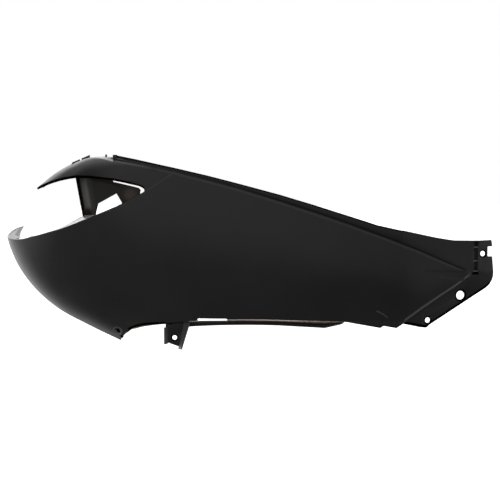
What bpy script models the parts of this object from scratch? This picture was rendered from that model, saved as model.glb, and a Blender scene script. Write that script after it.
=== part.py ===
"""Rear side panel of a scooter's fairing, one moulded plastic shell with its fixing flanges.

+X runs forward, -Y is the side seen from outside and +Z is up. The origin is on the outer face of the front
flange. Sizes are in millimetres, and become metres where a mesh is made.
"""

import math

import bmesh
import bpy
import numpy as np
from mathutils import Euler, Matrix, Vector
from mathutils.bvhtree import BVHTree

MM = 0.001
NAME = "side_panel"

# The shell: its wall, the round along its cut edges, and how far the fixing flanges lie behind it
WALL = 2.4
EDGE_RADIUS = 3.5
STEP_DEPTH = 5.5
FLANGE_TURN = math.radians(16)
CROWN = 14

# Faces of the shell lengthwise and across, and the powers that crowd them at the nose and at the top
LENGTHWISE = 40
ACROSS = 24
NOSE_CROWDING = 1.4
TOP_CROWDING = 1.15

# The shell's four edges in front view, as (x, z)
BOTTOM_EDGE = (
    (-460, -55.5), (-451, -40), (-442, -31.5), (-431, -26.6), (-412, -22), (-390, -18.8), (-346, -14.4),
    (-287, -12.2), (-204, -13.8), (-143, -15.8), (-92, -18), (-60, -18.8),
)
FRONT_EDGE = (
    (-60, -18.8), (-34, -1.4), (-8, 14.7), (14, 27.6), (29, 37.8), (33.6, 41.2), (36.4, 44.6),
)
TOP_EDGE = (
    (-608, 145), (-575, 166), (-546, 187), (-517, 201.5), (-496, 207.5), (-470, 207), (-454, 203),
    (-415, 195), (-375, 185.6), (-330, 174.2), (-287, 162.5), (-232, 145.4), (-176, 127.2), (-139, 114.4),
    (-82, 93.4), (-38, 76.3), (-9, 63.5), (20, 51.2), (36.4, 44.6),
)
NOSE_EDGE = ((-460, -55.5), (-507, -32.4), (-550, -8.4), (-590, 29), (-612, 65), (-622.5, 108), (-608, 145))

# Depth of the face along its bottom and its top, as (x, y), before the nose turns back
BOTTOM_DEPTH = ((-630, -22), (-460, -27), (-346, -31), (-287, -33), (-204, -33), (-143, -31), (-92, -27))
TOP_DEPTH = ((-630, -33), (-460, -37), (-346, -40), (-287, -41), (-204, -39.5), (-143, -35), (-92, -28.5))

FRONT_STATIONS = (-60, 0, 80)

# Where the face turns back: (share of the nose, depth, length of the turn), then by x along the top
NOSE_TURN = ((0, 40, 150), (0.12, 42, 180), (0.3, 42, 200), (0.7, 42, 220), (1, 42, 200))
TOP_TURN = (
    (-608, 42, 200), (-575, 35, 150), (-546, 26, 110), (-517, 15, 80), (-496, 2, 60), (-470, -12, 45),
    (-454, -24, 38), (-415, -34, 34), (-375, -46, 30),
)

# How the rim turns in, as five (outward, inward) steps from the edge of the face
ROUND = EDGE_RADIUS * math.sin(math.pi / 4)
TURN = EDGE_RADIUS - ROUND
RIM_PLAIN = ((ROUND, TURN), (EDGE_RADIUS, EDGE_RADIUS), (3.5, 5), (3.5, 6.5), (3.5, 8))
RIM_STEP = ((ROUND, TURN), (EDGE_RADIUS, EDGE_RADIUS), (3.5, 4.6), (3.5, 6.2), (3.5, STEP_DEPTH + 2))
RIM_FLARE = ((ROUND, TURN), (EDGE_RADIUS, EDGE_RADIUS), (4.2, 5), (4.8, 6.5), (5.4, 8))
RIM_SHELF = ((ROUND, TURN), (EDGE_RADIUS, EDGE_RADIUS), (6.4, 14), (9.8, 25), (13, 25.4))
RIM_HEM = ((ROUND, TURN), (EDGE_RADIUS, EDGE_RADIUS), (7, 14), (11.4, 25), (14.8, 25.4))
RIM_WEDGE = ((ROUND, TURN), (EDGE_RADIUS, EDGE_RADIUS), (4.6, 10), (6, 16), (7.2, 16.4))
RIM_TOE = ((0, 3), (0, 6), (-0.5, 9), (-1, 12), (-2, 15))
RIM_NOSE = ((-0.5, 10), (-2, 20), (-4.8, 30), (-8.6, 40), (-13, 50))
RIM_BROW = ((0, 6), (-0.6, 12), (-1.4, 18), (-2.4, 24), (-3.6, 30))
RIM_LIP = ((0, 8), (0.3, 16), (0.6, 24), (0.9, 32), (1, 40))
BOTTOM_RIMS = (
    (-460, RIM_TOE), (-448, RIM_PLAIN), (-436, RIM_FLARE), (-390, RIM_FLARE), (-377, RIM_SHELF),
    (-230, RIM_SHELF), (-168, RIM_HEM), (-144.5, RIM_WEDGE), (-142.5, RIM_STEP), (-60, RIM_STEP),
)
TOP_RIMS = ((-608, RIM_NOSE), (-575, RIM_LIP), (-474, RIM_LIP), (-460, RIM_STEP), (36, RIM_STEP))
NOSE_RIMS = (
    (0, RIM_TOE), (0.12, RIM_NOSE), (0.5, RIM_NOSE), (0.71, RIM_BROW), (0.82, RIM_NOSE), (1, RIM_NOSE),
)

# The lamp mouth, as (x, z, rise of its edge per unit of depth)
MOUTH_TOP = (
    (-575, 164.2, 0), (-551, 172.8, 0), (-531, 177.8, 0), (-511, 180.6, 0), (-491, 180, 0), (-458, 176.5, 0),
    (-436, 172, 0), (-419, 167, 0), (-414.5, 163.5, 0),
)
MOUTH_BOTTOM = (
    (-417, 160, 0), (-425, 156, 0), (-446, 144.5, 0), (-468, 135, 0), (-485, 128, 0), (-511, 117.5, 0),
    (-528, 111, 0), (-546, 105.5, 0), (-565, 100.5, 0), (-582, 97, 0.05), (-599, 93.5, 0.15),
    (-617, 90.5, 0.25),
)
MOUTH_SIDE = ((-660, 90.5, 0.25), (-660, 230, 0))
MOUTH_LEVEL = 20
CUT_NEAR = -120
CUT_FAR = 140

# The ledge that turns in from the mouth's lower edge round the nose, as (share of its length, width)
LEDGE_WIDTHS = ((0, 0.6), (0.2, 4), (0.45, 9), (0.7, 11.5), (1, 12.5))
LEDGE_WALL = 2.2
LEDGE_SINK = 0.2
LEDGE_OVERLAP = 1.2
LEDGE_BACK = 88
LEDGE_TURN = -600
LEDGE_FRONT = -566
LEDGE_STATIONS = 20

# The wall that runs in from the mouth's edge
LIP_WALL = 2.2
LIP_GAP = 0.15
LIP_DEPTH = 13
LIP_START = 1.3
LIP_PAST_PLATE = 0.3

# The lamp plate: (x of its top, x of its bottom, depth) at its free edge, its fold and its right end
PLATE = ((-518.2, -507.2, 14), (-497, -488, -9), (-415, -415, -19.5))
PLATE_COLUMNS = 8
PLATE_WALL = 2.4
PLATE_OVERLAP = 1.8
PLATE_SKEW = 0.4
SLIT = (
    (-463, 174.5), (-461.5, 172), (-458, 171), (-434, 165), (-427.5, 162.5), (-426, 160.5), (-428, 157),
    (-426, 153), (-404, 148), (-404, 190), (-462, 190),
)
WINDOW = ((-484, 144), (-457.5, 158.5), (-449.5, 145), (-452, 132), (-490, 116), (-488.5, 130))

# The front flange in front view, its three holes as (x, z, diameter), and the pressed groove
FLANGE_OUTLINE = (
    (-62, 107), (-31, 100.1), (-13.5, 96.2), (4, 93.1), (13, 91.7), (49, 90.6), (69.6, 91.2), (71.3, 82),
    (64, 81.8), (64, 68), (71.2, 67.8), (73.6, 43.2), (70.4, 32.6), (62.4, 23.6), (-20.5, -25.8),
    (-26, -30.4), (-35, -29.3), (-58.5, -23.8), (-63, -22), (-60.5, -18.5), (-35, -0.6), (-9, 15.8),
    (13, 27.5), (27, 36.4), (31.6, 39.8), (33.4, 42), (30, 44.6), (19.3, 49.8), (-9.8, 61.5),
    (-38.8, 73.9), (-62, 83.9),
)
FLANGE_HOLES = ((56.8, 72, 7.6), (24.1, 13.8, 12.4), (-24, -19.6, 7.6))
DRILL_REACH = 9
GROOVE_X = (43, 49)
GROOVE_Z = (42, 88)
GROOVE_DEPTH = 5
GROOVE_WALL = 2
GROOVE_SEAT = 1
GUSSET_HEIGHTS = (80.5, 61, 46.5)
GUSSET_WALL = 1.6
GUSSET_SEAT = 1
GUSSET_SINK = 0.8

# The flange along the top, as (x, z) of its upper edge, and the toothed one along the bottom
STRIP_TOP = (
    (-462, 211.4), (-429, 204.8), (-375, 193), (-330, 182.5), (-287, 171.4), (-232, 156.6), (-176, 139.7),
    (-133, 126), (-97.5, 114.4), (-66, 107.3), (-56, 105.4),
)
STRIP_OVERLAP = 2
STRIP_GAP = 0.15
TEETH = ((-142, -19.6), (-138, -20.2), (-92, -28.8), (-87.5, -26), (-69, -29.4), (-60, -23.6))

# Slot of the bottom flange: from and to along x, and across it
SLOT_X = (-346, -304)
SLOT_Y = (-40, -8)
SLOT_Z = (-40, -13.8)

# The fixing tab under the bottom flange
TAB_OUTLINE = ((-391.6, -21), (-391.6, -50.7), (-369, -58.9), (-357, -21))
TAB_FACE = -5
TAB_WALL = 2.6
TAB_HOLE = (-378.9, -44.7, 6.6)

# Its two ribs, each as (x of the outer side, z, width in front, width at the face) at its top and its bottom
TAB_RIB = 6.5
TAB_RIB_SEAT = 1
TAB_RIB_LEFT = ((-393.5, -29.9, 2.4, 4.8), (-393.5, -53, 2.4, 4.8))
TAB_RIB_RIGHT = ((-356, -21, 2.2, 5), (-368.2, -60.5, 2.2, 3.7))

# The pocket at the toe: (x, z), where its tool starts, the depths of its sleeve, and its wall
POCKET = ((-464.5, -33), (-460.5, -33.5), (-459, -39), (-461, -43.5), (-465, -43), (-467.5, -38))
POCKET_CUT = -48
POCKET_Y = (24, 46)
POCKET_WALL = 2

# Small catches on the upper lip: (x from, x to, z from, z to, y from, y to)
CATCHES = (
    (-529, -517.5, 190, 205.5, 49, 51.6),
    (-514.5, -502.5, 198, 211.5, 45, 47.6),
    (-476.2, -473.7, 200, 211.8, 13.1, 15.7),
    (-461.4, -455.5, 203, 211, -19.6, -17.2),
)
CATCH_SLOPE = 5

# The longest edge that the last weld takes out, of the slivers that cuts leave
SLIVER = 0.05

PLASTIC = (0.012, 0.012, 0.013, 1)
PLASTIC_ROUGHNESS = 0.28


def clear_scene():
    """Remove the start-up objects."""
    for obj in list(bpy.data.objects):
        bpy.data.objects.remove(obj, do_unlink=True)


def new_collection(name):
    """Return a new collection linked to the scene."""
    collection = bpy.data.collections.new(name)
    bpy.context.scene.collection.children.link(collection)
    return collection


def plastic():
    """Return the black semi-gloss plastic."""
    material = bpy.data.materials.new("black_plastic")
    material.use_nodes = True
    shader = material.node_tree.nodes["Principled BSDF"]
    shader.inputs["Base Color"].default_value = PLASTIC
    shader.inputs["Roughness"].default_value = PLASTIC_ROUGHNESS
    return material


def mesh_object(name, points, faces, collection):
    """Return an object whose mesh has these points, in millimetres, and these faces."""
    mesh = bpy.data.meshes.new(name)
    places = [tuple(float(c) * MM for c in p) for p in points]
    mesh.from_pydata(places, [], [tuple(map(int, f)) for f in faces])
    mesh.validate()
    obj = bpy.data.objects.new(name, mesh)
    collection.objects.link(obj)
    return obj


def operand(obj):
    """Mark an object as one that only serves a Boolean, with flat faces for it."""
    if not obj.modifiers:
        flatten(obj)
    obj.hide_render = True
    obj.display_type = "WIRE"
    return obj


def flatten(obj):
    """Split an object's faces into triangles, as a Boolean of twisted faces leaves folds."""
    obj.modifiers.new("flatten", "TRIANGULATE")


def combine(obj, other, operation):
    """Add an exact Boolean of the two objects to the first."""
    modifier = obj.modifiers.new(f"{operation.lower()}_{other.name}", "BOOLEAN")
    modifier.operation = operation
    modifier.solver = "EXACT"
    modifier.object = other


def smooth_curve(knots, shares):
    """Return the points at these shares of a curve through the knots.

    The shares are of its length. Each span is a cubic whose end tangents follow the neighbouring knots.
    """
    knots = np.array(knots, float)
    lengths = np.linalg.norm(np.diff(knots[:, :2], axis=0), axis=1)
    at = np.concatenate([[0], np.cumsum(lengths)]) / lengths.sum()
    chords = np.diff(knots, axis=0) / np.diff(at)[:, None]
    weights = np.diff(at)
    before, after = weights[:-1, None], weights[1:, None]
    inner = (chords[:-1] * after + chords[1:] * before) / (before + after)
    tangents = np.vstack([1.5 * chords[0] - 0.5 * inner[0], inner, 1.5 * chords[-1] - 0.5 * inner[-1]])
    span = np.clip(np.searchsorted(at, shares, side="right") - 1, 0, len(chords) - 1)
    width = weights[span][:, None]
    t = (np.asarray(shares) - at[span])[:, None] / width
    start, end = knots[span], knots[span + 1]
    rise = (2 * t**3 - 3 * t**2 + 1) * start + (3 * t**2 - 2 * t**3) * end
    return rise + width * ((t**3 - 2 * t**2 + t) * tangents[span] + (t**3 - t**2) * tangents[span + 1])


def eased(table, at):
    """Return a table's values at these places, on smooth curves between its stations."""
    rows = np.array(table, float)
    curve = smooth_curve(rows, np.linspace(0, 1, 400))
    return [np.interp(at, curve[:, 0], column) for column in curve.T[1:]]


def blended(table, at, x):
    """Return a table's values at x, between its stations, as an array."""
    values = np.array(table, float).reshape(len(at), -1)
    return np.stack([np.interp(x, at, column) for column in values.T], axis=-1)


def flange_depth(x):
    """Return the depth of the front flange's outer face, which is flat and turned in towards the front."""
    return math.tan(FLANGE_TURN) * x


def edge_depth(table, x):
    """Return the depth of the face along one edge, which ends parallel to the front flange."""
    ends = tuple((front, flange_depth(front) - STEP_DEPTH) for front in FRONT_STATIONS)
    return eased(table + ends, x)[0]


def face_grid():
    """Return the (x, z) of the face's grid, and its shares lengthwise and across.

    The grid blends the four edges, so that each one is followed exactly.
    """
    along = np.linspace(0, 1, LENGTHWISE + 1) ** NOSE_CROWDING
    across = 1 - (1 - np.linspace(0, 1, ACROSS + 1)) ** TOP_CROWDING
    bottom, top = smooth_curve(BOTTOM_EDGE, along), smooth_curve(TOP_EDGE, along)
    nose, front = smooth_curve(NOSE_EDGE, across), smooth_curve(FRONT_EDGE, across)
    u, v = along[:, None, None], across[None, :, None]
    lengthwise = (1 - u) * nose[None] + u * front[None]
    upward = (1 - v) * bottom[:, None] + v * top[:, None]
    corners = (1 - u) * ((1 - v) * nose[0] + v * nose[-1]) + u * ((1 - v) * front[0] + v * front[-1])
    return lengthwise + upward - corners, along, across


def turn(distance, length):
    """Return how far the face has turned back: 1 at the silhouette, along a quarter ellipse to 0."""
    near = 1 - np.clip(distance / length, 0, 1)
    return 1 - np.sqrt(1 - near**2)


def turned_back(plan, depth, across):
    """Return the depths with the face turned back round the nose and over the upper lip."""
    steps = np.linalg.norm(np.diff(plan, axis=0), axis=-1)
    from_nose = np.vstack([np.zeros((1, ACROSS + 1)), np.cumsum(steps, axis=0)])
    steps = np.linalg.norm(np.diff(plan, axis=1), axis=-1)[:, ::-1]
    from_top = np.hstack([np.zeros((LENGTHWISE + 1, 1)), np.cumsum(steps, axis=1)])[:, ::-1]
    nose_depth, nose_length = eased(NOSE_TURN, across)
    top_depth, top_length = eased(TOP_TURN, plan[:, -1, 0])
    nose, top = turn(from_nose, nose_length), turn(from_top, top_length[:, None])
    round_nose = np.maximum(nose_depth - depth, 0) * nose * (1 - top)
    return depth + round_nose + np.maximum(top_depth[:, None] - depth, 0) * top


def face_points():
    """Return the points of the face as a grid, lengthwise then across."""
    plan, along, across = face_grid()
    bottom, top = edge_depth(BOTTOM_DEPTH, plan[..., 0]), edge_depth(TOP_DEPTH, plan[..., 0])
    crown = CROWN * 4 * across * (1 - across) * (1 - along[:, None] ** 5)
    depth = bottom * (1 - across) + top * across - crown
    depth = turned_back(plan, depth, across)
    return np.stack([plan[..., 0], depth, plan[..., 1]], axis=-1)


def rim_profiles(grid):
    """Return the five steps of the rim at each point round the face, in the order of rim_loop."""
    bottom, front, top, nose = grid[:-1, 0], grid[-1, :-1], grid[:0:-1, -1], grid[0, :0:-1]
    shares = np.linspace(1, 0, ACROSS + 1)[:-1]
    along_bottom = blended([r[1] for r in BOTTOM_RIMS], [r[0] for r in BOTTOM_RIMS], bottom[:, 0])
    along_front = blended([RIM_STEP, RIM_STEP], [0, 1], np.linspace(0, 1, len(front)))
    along_top = blended([r[1] for r in TOP_RIMS], [r[0] for r in TOP_RIMS], top[:, 0])
    along_nose = blended([r[1] for r in NOSE_RIMS], [r[0] for r in NOSE_RIMS], shares[: len(nose)])
    return np.concatenate([along_bottom, along_front, along_top, along_nose]).reshape(-1, 5, 2)


def rim_loop():
    """Return the indices of the grid's points round the face: bottom, front, top, nose."""
    index = np.arange((LENGTHWISE + 1) * (ACROSS + 1)).reshape(LENGTHWISE + 1, ACROSS + 1)
    return np.concatenate([index[:-1, 0], index[-1, :-1], index[:0:-1, -1], index[0, :0:-1]])


def outward(loop):
    """Return the outward direction in front view at each point of an anticlockwise loop."""
    tangent = np.roll(loop, -1, axis=0) - np.roll(loop, 1, axis=0)
    away = np.stack([tangent[:, 2], np.zeros(len(loop)), -tangent[:, 0]], axis=1)
    return away / np.linalg.norm(away, axis=1)[:, None]


def shell(collection):
    """Return the shell and the points of its face's edge: the face, with its rim turned in all round."""
    grid = face_points()
    points = grid.reshape(-1, 3)
    loop = rim_loop()
    edge = points[loop]
    away = outward(edge)
    profiles = rim_profiles(grid)
    rings = [loop]
    for step in range(profiles.shape[1]):
        ring = edge + away * profiles[:, step, :1] + np.array([0, 1, 0]) * profiles[:, step, 1:]
        rings.append(np.arange(len(points), len(points) + len(ring)))
        points = np.vstack([points, ring])
    row = np.arange(LENGTHWISE)[:, None] * (ACROSS + 1) + np.arange(ACROSS)[None]
    row = row.ravel()
    faces = np.stack([row, row + ACROSS + 1, row + ACROSS + 2, row + 1], axis=1)
    for inner, outer in zip(rings, rings[1:]):
        band = np.stack([inner, outer, np.roll(outer, -1), np.roll(inner, -1)], axis=1)
        faces = np.vstack([faces, band])
    obj = mesh_object(NAME, points, faces, collection)
    wall = obj.modifiers.new("wall", "SOLIDIFY")
    wall.thickness = WALL * MM
    wall.offset = -1
    wall.use_even_offset = True
    flatten(obj)
    return obj, edge, away


def outer_face(obj):
    """Return a function that follows a ray from a point, in millimetres, to the shell's outer face."""
    mesh = obj.data
    tree = BVHTree.FromPolygons([v.co for v in mesh.vertices], [tuple(p.vertices) for p in mesh.polygons])

    def hit(start, direction):
        found = tree.ray_cast(Vector(start) * MM, Vector(direction))[0]
        return None if found is None else found / MM

    return hit


def face_depth(hit, x, z):
    """Return the depth of the outer face behind a point in front view."""
    return hit((x, CUT_NEAR, z), (0, 1, 0)).y


def prism(name, outline, near, far, collection):
    """Return a prism of an outline in front view, given as (x, z).

    near and far are its depths, each a number or a function of x.
    """
    count = len(outline)
    depths = [near if callable(near) else lambda x: near, far if callable(far) else lambda x: far]
    points = [(x, depth(x), z) for depth in depths for x, z in outline]
    sides = [(i, (i + 1) % count, count + (i + 1) % count, count + i) for i in range(count)]
    faces = [tuple(range(count))[::-1], tuple(range(count, 2 * count)), *sides]
    area = sum(a[0] * b[1] - b[0] * a[1] for a, b in zip(outline, outline[1:] + outline[:1]))
    if area < 0:
        return mesh_object(name, points, faces, collection)
    return mesh_object(name, points, [f[::-1] for f in faces], collection)


def drill(name, place, diameter, turn, collection):
    """Return a round cutter through a place, square to an upright plane that is turned by this angle."""
    matrix = Matrix.Translation(Vector(place) * MM) @ Euler((math.pi / 2, 0, turn)).to_matrix().to_4x4()
    radius, depth = diameter / 2 * MM, 2 * DRILL_REACH * MM
    form = bmesh.new()
    bmesh.ops.create_cone(
        form, cap_ends=True, segments=24, radius1=radius, radius2=radius, depth=depth, matrix=matrix
    )
    mesh = bpy.data.meshes.new(name)
    form.to_mesh(mesh)
    form.free()
    obj = bpy.data.objects.new(name, mesh)
    collection.objects.link(obj)
    return operand(obj)


def bar(name, stations, collection):
    """Return a closed bar through stations of four corners each, with flat ends."""
    points = [corner for station in stations for corner in station]
    faces = [(0, 1, 2, 3), tuple(len(points) - 4 + k for k in (3, 2, 1, 0))]
    for i in range(len(stations) - 1):
        for k in range(4):
            a, b = 4 * i + k, 4 * i + (k + 1) % 4
            faces.append((b, a, a + 4, b + 4))
    obj = mesh_object(name, points, faces, collection)
    corners = np.array(points)[np.array([(f[0], f[j], f[j + 1]) for f in faces for j in (1, 2)])]
    if np.linalg.det(corners).sum() < 0:
        obj.data.flip_normals()
    return obj


def mouth_cutter(collection):
    """Return the tool that cuts the lamp mouth, with an edge that rises towards the back at the nose."""
    outline = MOUTH_TOP + MOUTH_BOTTOM + MOUTH_SIDE
    count = len(outline)
    rows = [[(x, y, z + rise * (y - MOUTH_LEVEL)) for x, z, rise in outline] for y in (CUT_NEAR, CUT_FAR)]
    sides = [(i, (i + 1) % count, count + (i + 1) % count, count + i) for i in range(count)]
    faces = [tuple(range(count))[::-1], tuple(range(count, 2 * count)), *sides]
    return operand(mesh_object("mouth_tool", rows[0] + rows[1], faces, collection))


def mouth_height(x, y):
    """Return the height of the mouth's lower edge, which rises towards the back at the nose."""
    at, height, rise = np.array(MOUTH_BOTTOM[::-1], float).T
    return float(np.interp(x, at, height) + np.interp(x, at, rise) * (y - MOUTH_LEVEL))


def ledge_path(hit):
    """Return the (x, y) of the mouth's lower edge on the shell, from the back of the nose to its front."""
    outermost = NOSE_EDGE[-2][0]
    around = []
    for y in np.linspace(LEDGE_BACK, 0, LEDGE_STATIONS):
        point = hit((2 * outermost, y, mouth_height(outermost, y)), (1, 0, 0))
        if point is not None and point.x < LEDGE_TURN:
            around.append((point.x, y))
    level = around[-1][1]
    for x in np.linspace(LEDGE_TURN, LEDGE_FRONT, LEDGE_STATIONS // 3):
        level = face_depth(hit, x, mouth_height(x, level))
        around.append((x, level))
    return np.array(around)


def nose_ledge(hit, collection):
    """Return the ledge round the nose, level with the mouth's lower edge and tapering out at the back."""
    shares = np.linspace(0, 1, LEDGE_STATIONS)
    path = smooth_curve(ledge_path(hit), shares)
    tangent = np.gradient(path, axis=0)
    inward = np.stack([-tangent[:, 1], tangent[:, 0]], axis=1) / np.linalg.norm(tangent, axis=1)[:, None]
    width = eased(LEDGE_WIDTHS, shares)[0]
    stations = []
    for point, side, reach in zip(path, inward, width):
        outer, inner = point + side * LEDGE_OVERLAP, point + side * (LEDGE_OVERLAP + reach)
        top = [(x, y, mouth_height(x, y) - LEDGE_SINK) for x, y in (outer, inner)]
        stations.append(top + [(x, y, z - LEDGE_WALL) for x, y, z in top[::-1]])
    return operand(bar("nose_ledge", stations, collection))


def plate_depth(x):
    """Return the depth of the lamp plate's front at x, measured half way up."""
    at = [(top + bottom) / 2 for top, bottom, _ in PLATE]
    return float(np.interp(x, at, [row[2] for row in PLATE]))


def lip_wall(hit, collection):
    """Return the wall that runs in from the mouth's edge, as deep as the lamp plate where that is."""
    path = np.array([row[:2] for row in MOUTH_BOTTOM[-3::-1] + MOUTH_TOP[:1:-1]], float)
    path = smooth_curve(path, np.linspace(0, 1, 48))
    tangent = np.gradient(path, axis=0)
    away = np.stack([tangent[:, 1], -tangent[:, 0]], axis=1)
    away /= np.linalg.norm(away, axis=1)[:, None]
    stations = []
    for (x, z), (ax, az) in zip(path, away):
        inner, outer = LIP_GAP, LIP_GAP + LIP_WALL
        near = [face_depth(hit, x + ax * out, z + az * out) + LIP_START for out in (inner, outer)]
        deep = plate_depth(x) + PLATE_WALL + LIP_PAST_PLATE
        share = float(np.interp(x, [-530, -508], [0, 1]))
        far = (1 - share) * (near[0] + LIP_DEPTH) + share * max(deep, near[0] + LIP_DEPTH)
        corners = [(inner, near[0]), (inner, far), (outer, far), (outer, near[1])]
        stations.append([(x + ax * out, y, z + az * out) for out, y in corners])
    return operand(bar("lip_wall", stations, collection))


def lamp_plate(collection):
    """Return the plate behind the mouth, folded back at its free edge, with its slit and its window."""
    free, fold, end = PLATE
    shares = np.linspace(0, 1, PLATE_COLUMNS)
    columns = [free] + [tuple(fold[k] + s * (end[k] - fold[k]) for k in range(3)) for s in shares]
    top, bottom = np.array(MOUTH_TOP), np.array(MOUTH_BOTTOM[::-1])
    stations = []
    for x_top, x_bottom, y in columns:
        high = np.interp(x_top, top[:, 0], top[:, 1]) + PLATE_OVERLAP
        low = np.interp(x_bottom, bottom[:, 0], bottom[:, 1]) - PLATE_OVERLAP
        front = [(x_bottom, y, low), (x_top, y, high)]
        stations.append(front + [(x + PLATE_SKEW, y + PLATE_WALL, z) for x, _, z in front[::-1]])
    plate = operand(bar("lamp_plate", stations, collection))
    for name, outline in (("slit_tool", SLIT), ("window_tool", WINDOW)):
        combine(plate, operand(prism(name, outline, CUT_NEAR, CUT_FAR, collection)), "DIFFERENCE")
    return plate


def edge_range(edge, away, side, start, end):
    """Return the face's edge points and outward directions on one side, from one x to another."""
    bottom, front, top = LENGTHWISE, LENGTHWISE + ACROSS, 2 * LENGTHWISE + ACROSS
    run = slice(bottom) if side == "bottom" else slice(front, top)
    points, directions = edge[run], away[run]
    kept = (points[:, 0] >= start) & (points[:, 0] <= end)
    order = np.argsort(points[kept][:, 0])
    return points[kept][order], directions[kept][order]


def edge_strip(name, edge, away, side, outline, collection):
    """Return a flange that runs behind one edge of the face and out to an outline in front view."""
    at, limit = np.array(outline).T
    points, directions = edge_range(edge, away, side, at[0], at[-1])
    stations_x = np.union1d(points[:, 0].round(3), at)
    inner = points + directions * STRIP_OVERLAP
    stations = []
    for x in stations_x:
        z_in = np.interp(x, inner[:, 0], inner[:, 2])
        z_out = np.interp(x, at, limit)
        y = np.interp(x, points[:, 0], points[:, 1]) + STEP_DEPTH + STRIP_GAP
        stations.append([(x, y, z_in), (x, y, z_out), (x, y + WALL, z_out), (x, y + WALL, z_in)])
    return operand(bar(name, stations, collection))


def front_flange(collection):
    """Return the flat front flange with its groove and gussets, and the tools that cut its holes."""
    depth = flange_depth
    wall = WALL / math.cos(FLANGE_TURN)
    flange = prism("front_flange", list(FLANGE_OUTLINE), depth, lambda x: depth(x) + wall, collection)
    left, right = GROOVE_X
    low, high = GROOVE_Z
    outer_left, outer_right = left - GROOVE_WALL, right + GROOVE_WALL
    back = [(outer_left, low), (outer_right, low), (outer_right, high), (outer_left, high)]
    past = high + GROOVE_DEPTH
    groove = [(left, low + WALL), (right, low + WALL), (right, past), (left, past)]
    for number, (x, z, diameter) in enumerate(FLANGE_HOLES):
        place = (x, depth(x), z)
        combine(flange, drill(f"hole_{number}", place, diameter, FLANGE_TURN, collection), "DIFFERENCE")
    seat, deep = lambda x: depth(x) + GROOVE_SEAT, lambda x: depth(x) + GROOVE_DEPTH + WALL
    box = prism("groove_back", back, seat, deep, collection)
    before, bottom = lambda x: depth(x) - GROOVE_DEPTH, lambda x: depth(x) + GROOVE_DEPTH
    tool = prism("groove_tool", groove, before, bottom, collection)
    combine(flange, operand(box), "UNION")
    combine(flange, operand(tool), "DIFFERENCE")
    for number, z in enumerate(GUSSET_HEIGHTS):
        web_left, web_right, top = left - GUSSET_SEAT, right + GUSSET_SEAT, z + GUSSET_WALL
        web = [(web_left, z), (web_right, z), (web_right, top), (web_left, top)]
        near, far = lambda x: depth(x) + GUSSET_SINK, lambda x: depth(x) + GROOVE_DEPTH + GUSSET_SEAT
        rib = prism(f"gusset_{number}", web, near, far, collection)
        combine(flange, operand(rib), "UNION")
    return operand(flange)


def tab_rib(name, ends, inward, collection):
    """Return a rib of the tab with a sloping inner side; inward is 1 or -1 along x."""
    front, back = TAB_FACE - TAB_RIB, TAB_FACE + TAB_RIB_SEAT
    stations = []
    for x, z, narrow, wide in ends:
        inner_back, inner_front = (x + inward * wide, back, z), (x + inward * narrow, front, z)
        stations.append([(x, front, z), (x, back, z), inner_back, inner_front])
    return operand(bar(name, stations, collection))


def tab(collection):
    """Return the fixing tab, a flat face between two ribs, with its hole."""
    face = prism("tab", list(TAB_OUTLINE), TAB_FACE, TAB_FACE + TAB_WALL, collection)
    combine(face, tab_rib("tab_rib_left", TAB_RIB_LEFT, 1, collection), "UNION")
    combine(face, tab_rib("tab_rib_right", TAB_RIB_RIGHT, -1, collection), "UNION")
    x, z, diameter = TAB_HOLE
    combine(face, drill("tab_hole", (x, TAB_FACE, z), diameter, 0, collection), "DIFFERENCE")
    return operand(face)


def grown(outline, distance):
    """Return an outline pushed out from its middle."""
    middle = np.mean(outline, axis=0)
    offsets = np.array(outline) - middle
    return [tuple(middle + o * (1 + distance / np.linalg.norm(o))) for o in offsets]


def box(name, x, z, y, slope, collection):
    """Return a small catch, whose top slopes with the lip."""
    outline = [(x[0], z[0]), (x[1], z[0]), (x[1], z[1]), (x[0], z[1] - slope)]
    return operand(prism(name, outline, y[0], y[1], collection))


def build():
    """Build the panel."""
    clear_scene()
    parts, tools = new_collection("scooter_side_panel"), new_collection("tools")
    panel, edge, away = shell(parts)
    hit = outer_face(panel)
    combine(panel, mouth_cutter(tools), "DIFFERENCE")
    combine(panel, nose_ledge(hit, tools), "UNION")
    combine(panel, lip_wall(hit, tools), "UNION")
    combine(panel, lamp_plate(tools), "UNION")
    combine(panel, edge_strip("top_strip", edge, away, "top", STRIP_TOP, tools), "UNION")
    combine(panel, edge_strip("toothed_strip", edge, away, "bottom", TEETH, tools), "UNION")
    combine(panel, front_flange(tools), "UNION")
    combine(panel, tab(tools), "UNION")
    near, far = POCKET_Y
    sleeve = prism("pocket_sleeve", grown(POCKET, POCKET_WALL), near, far, tools)
    combine(panel, operand(sleeve), "UNION")
    for number, (x0, x1, z0, z1, y0, y1) in enumerate(CATCHES):
        slope = CATCH_SLOPE if number < 2 else 0
        combine(panel, box(f"catch_{number}", (x0, x1), (z0, z1), (y0, y1), slope, tools), "UNION")
    recess = prism("pocket_tool", list(POCKET), POCKET_CUT, far - POCKET_WALL, tools)
    combine(panel, operand(recess), "DIFFERENCE")
    (x0, x1), (y0, y1), (z0, z1) = SLOT_X, SLOT_Y, SLOT_Z
    slot = prism("slot_tool", [(x0, z0), (x1, z0), (x1, z1), (x0, z1)], y0, y1, tools)
    combine(panel, operand(slot), "DIFFERENCE")
    weld = panel.modifiers.new("weld", "WELD")
    weld.merge_threshold = SLIVER * MM
    panel.data.materials.append(plastic())


build()
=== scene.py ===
"""Rear side panel of a scooter's fairing, dressed as one moulded black plastic shell.

The panel's pieces are surfaces worked out on grids with numpy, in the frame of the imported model: +X runs forward,
-Y is the side seen from outside and +Z is up. Sizes are in millimetres and become metres where a mesh is made.
"""

import logging
import math
from dataclasses import dataclass, field
from enum import Enum
from typing import Any, Callable, Sequence

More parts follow.
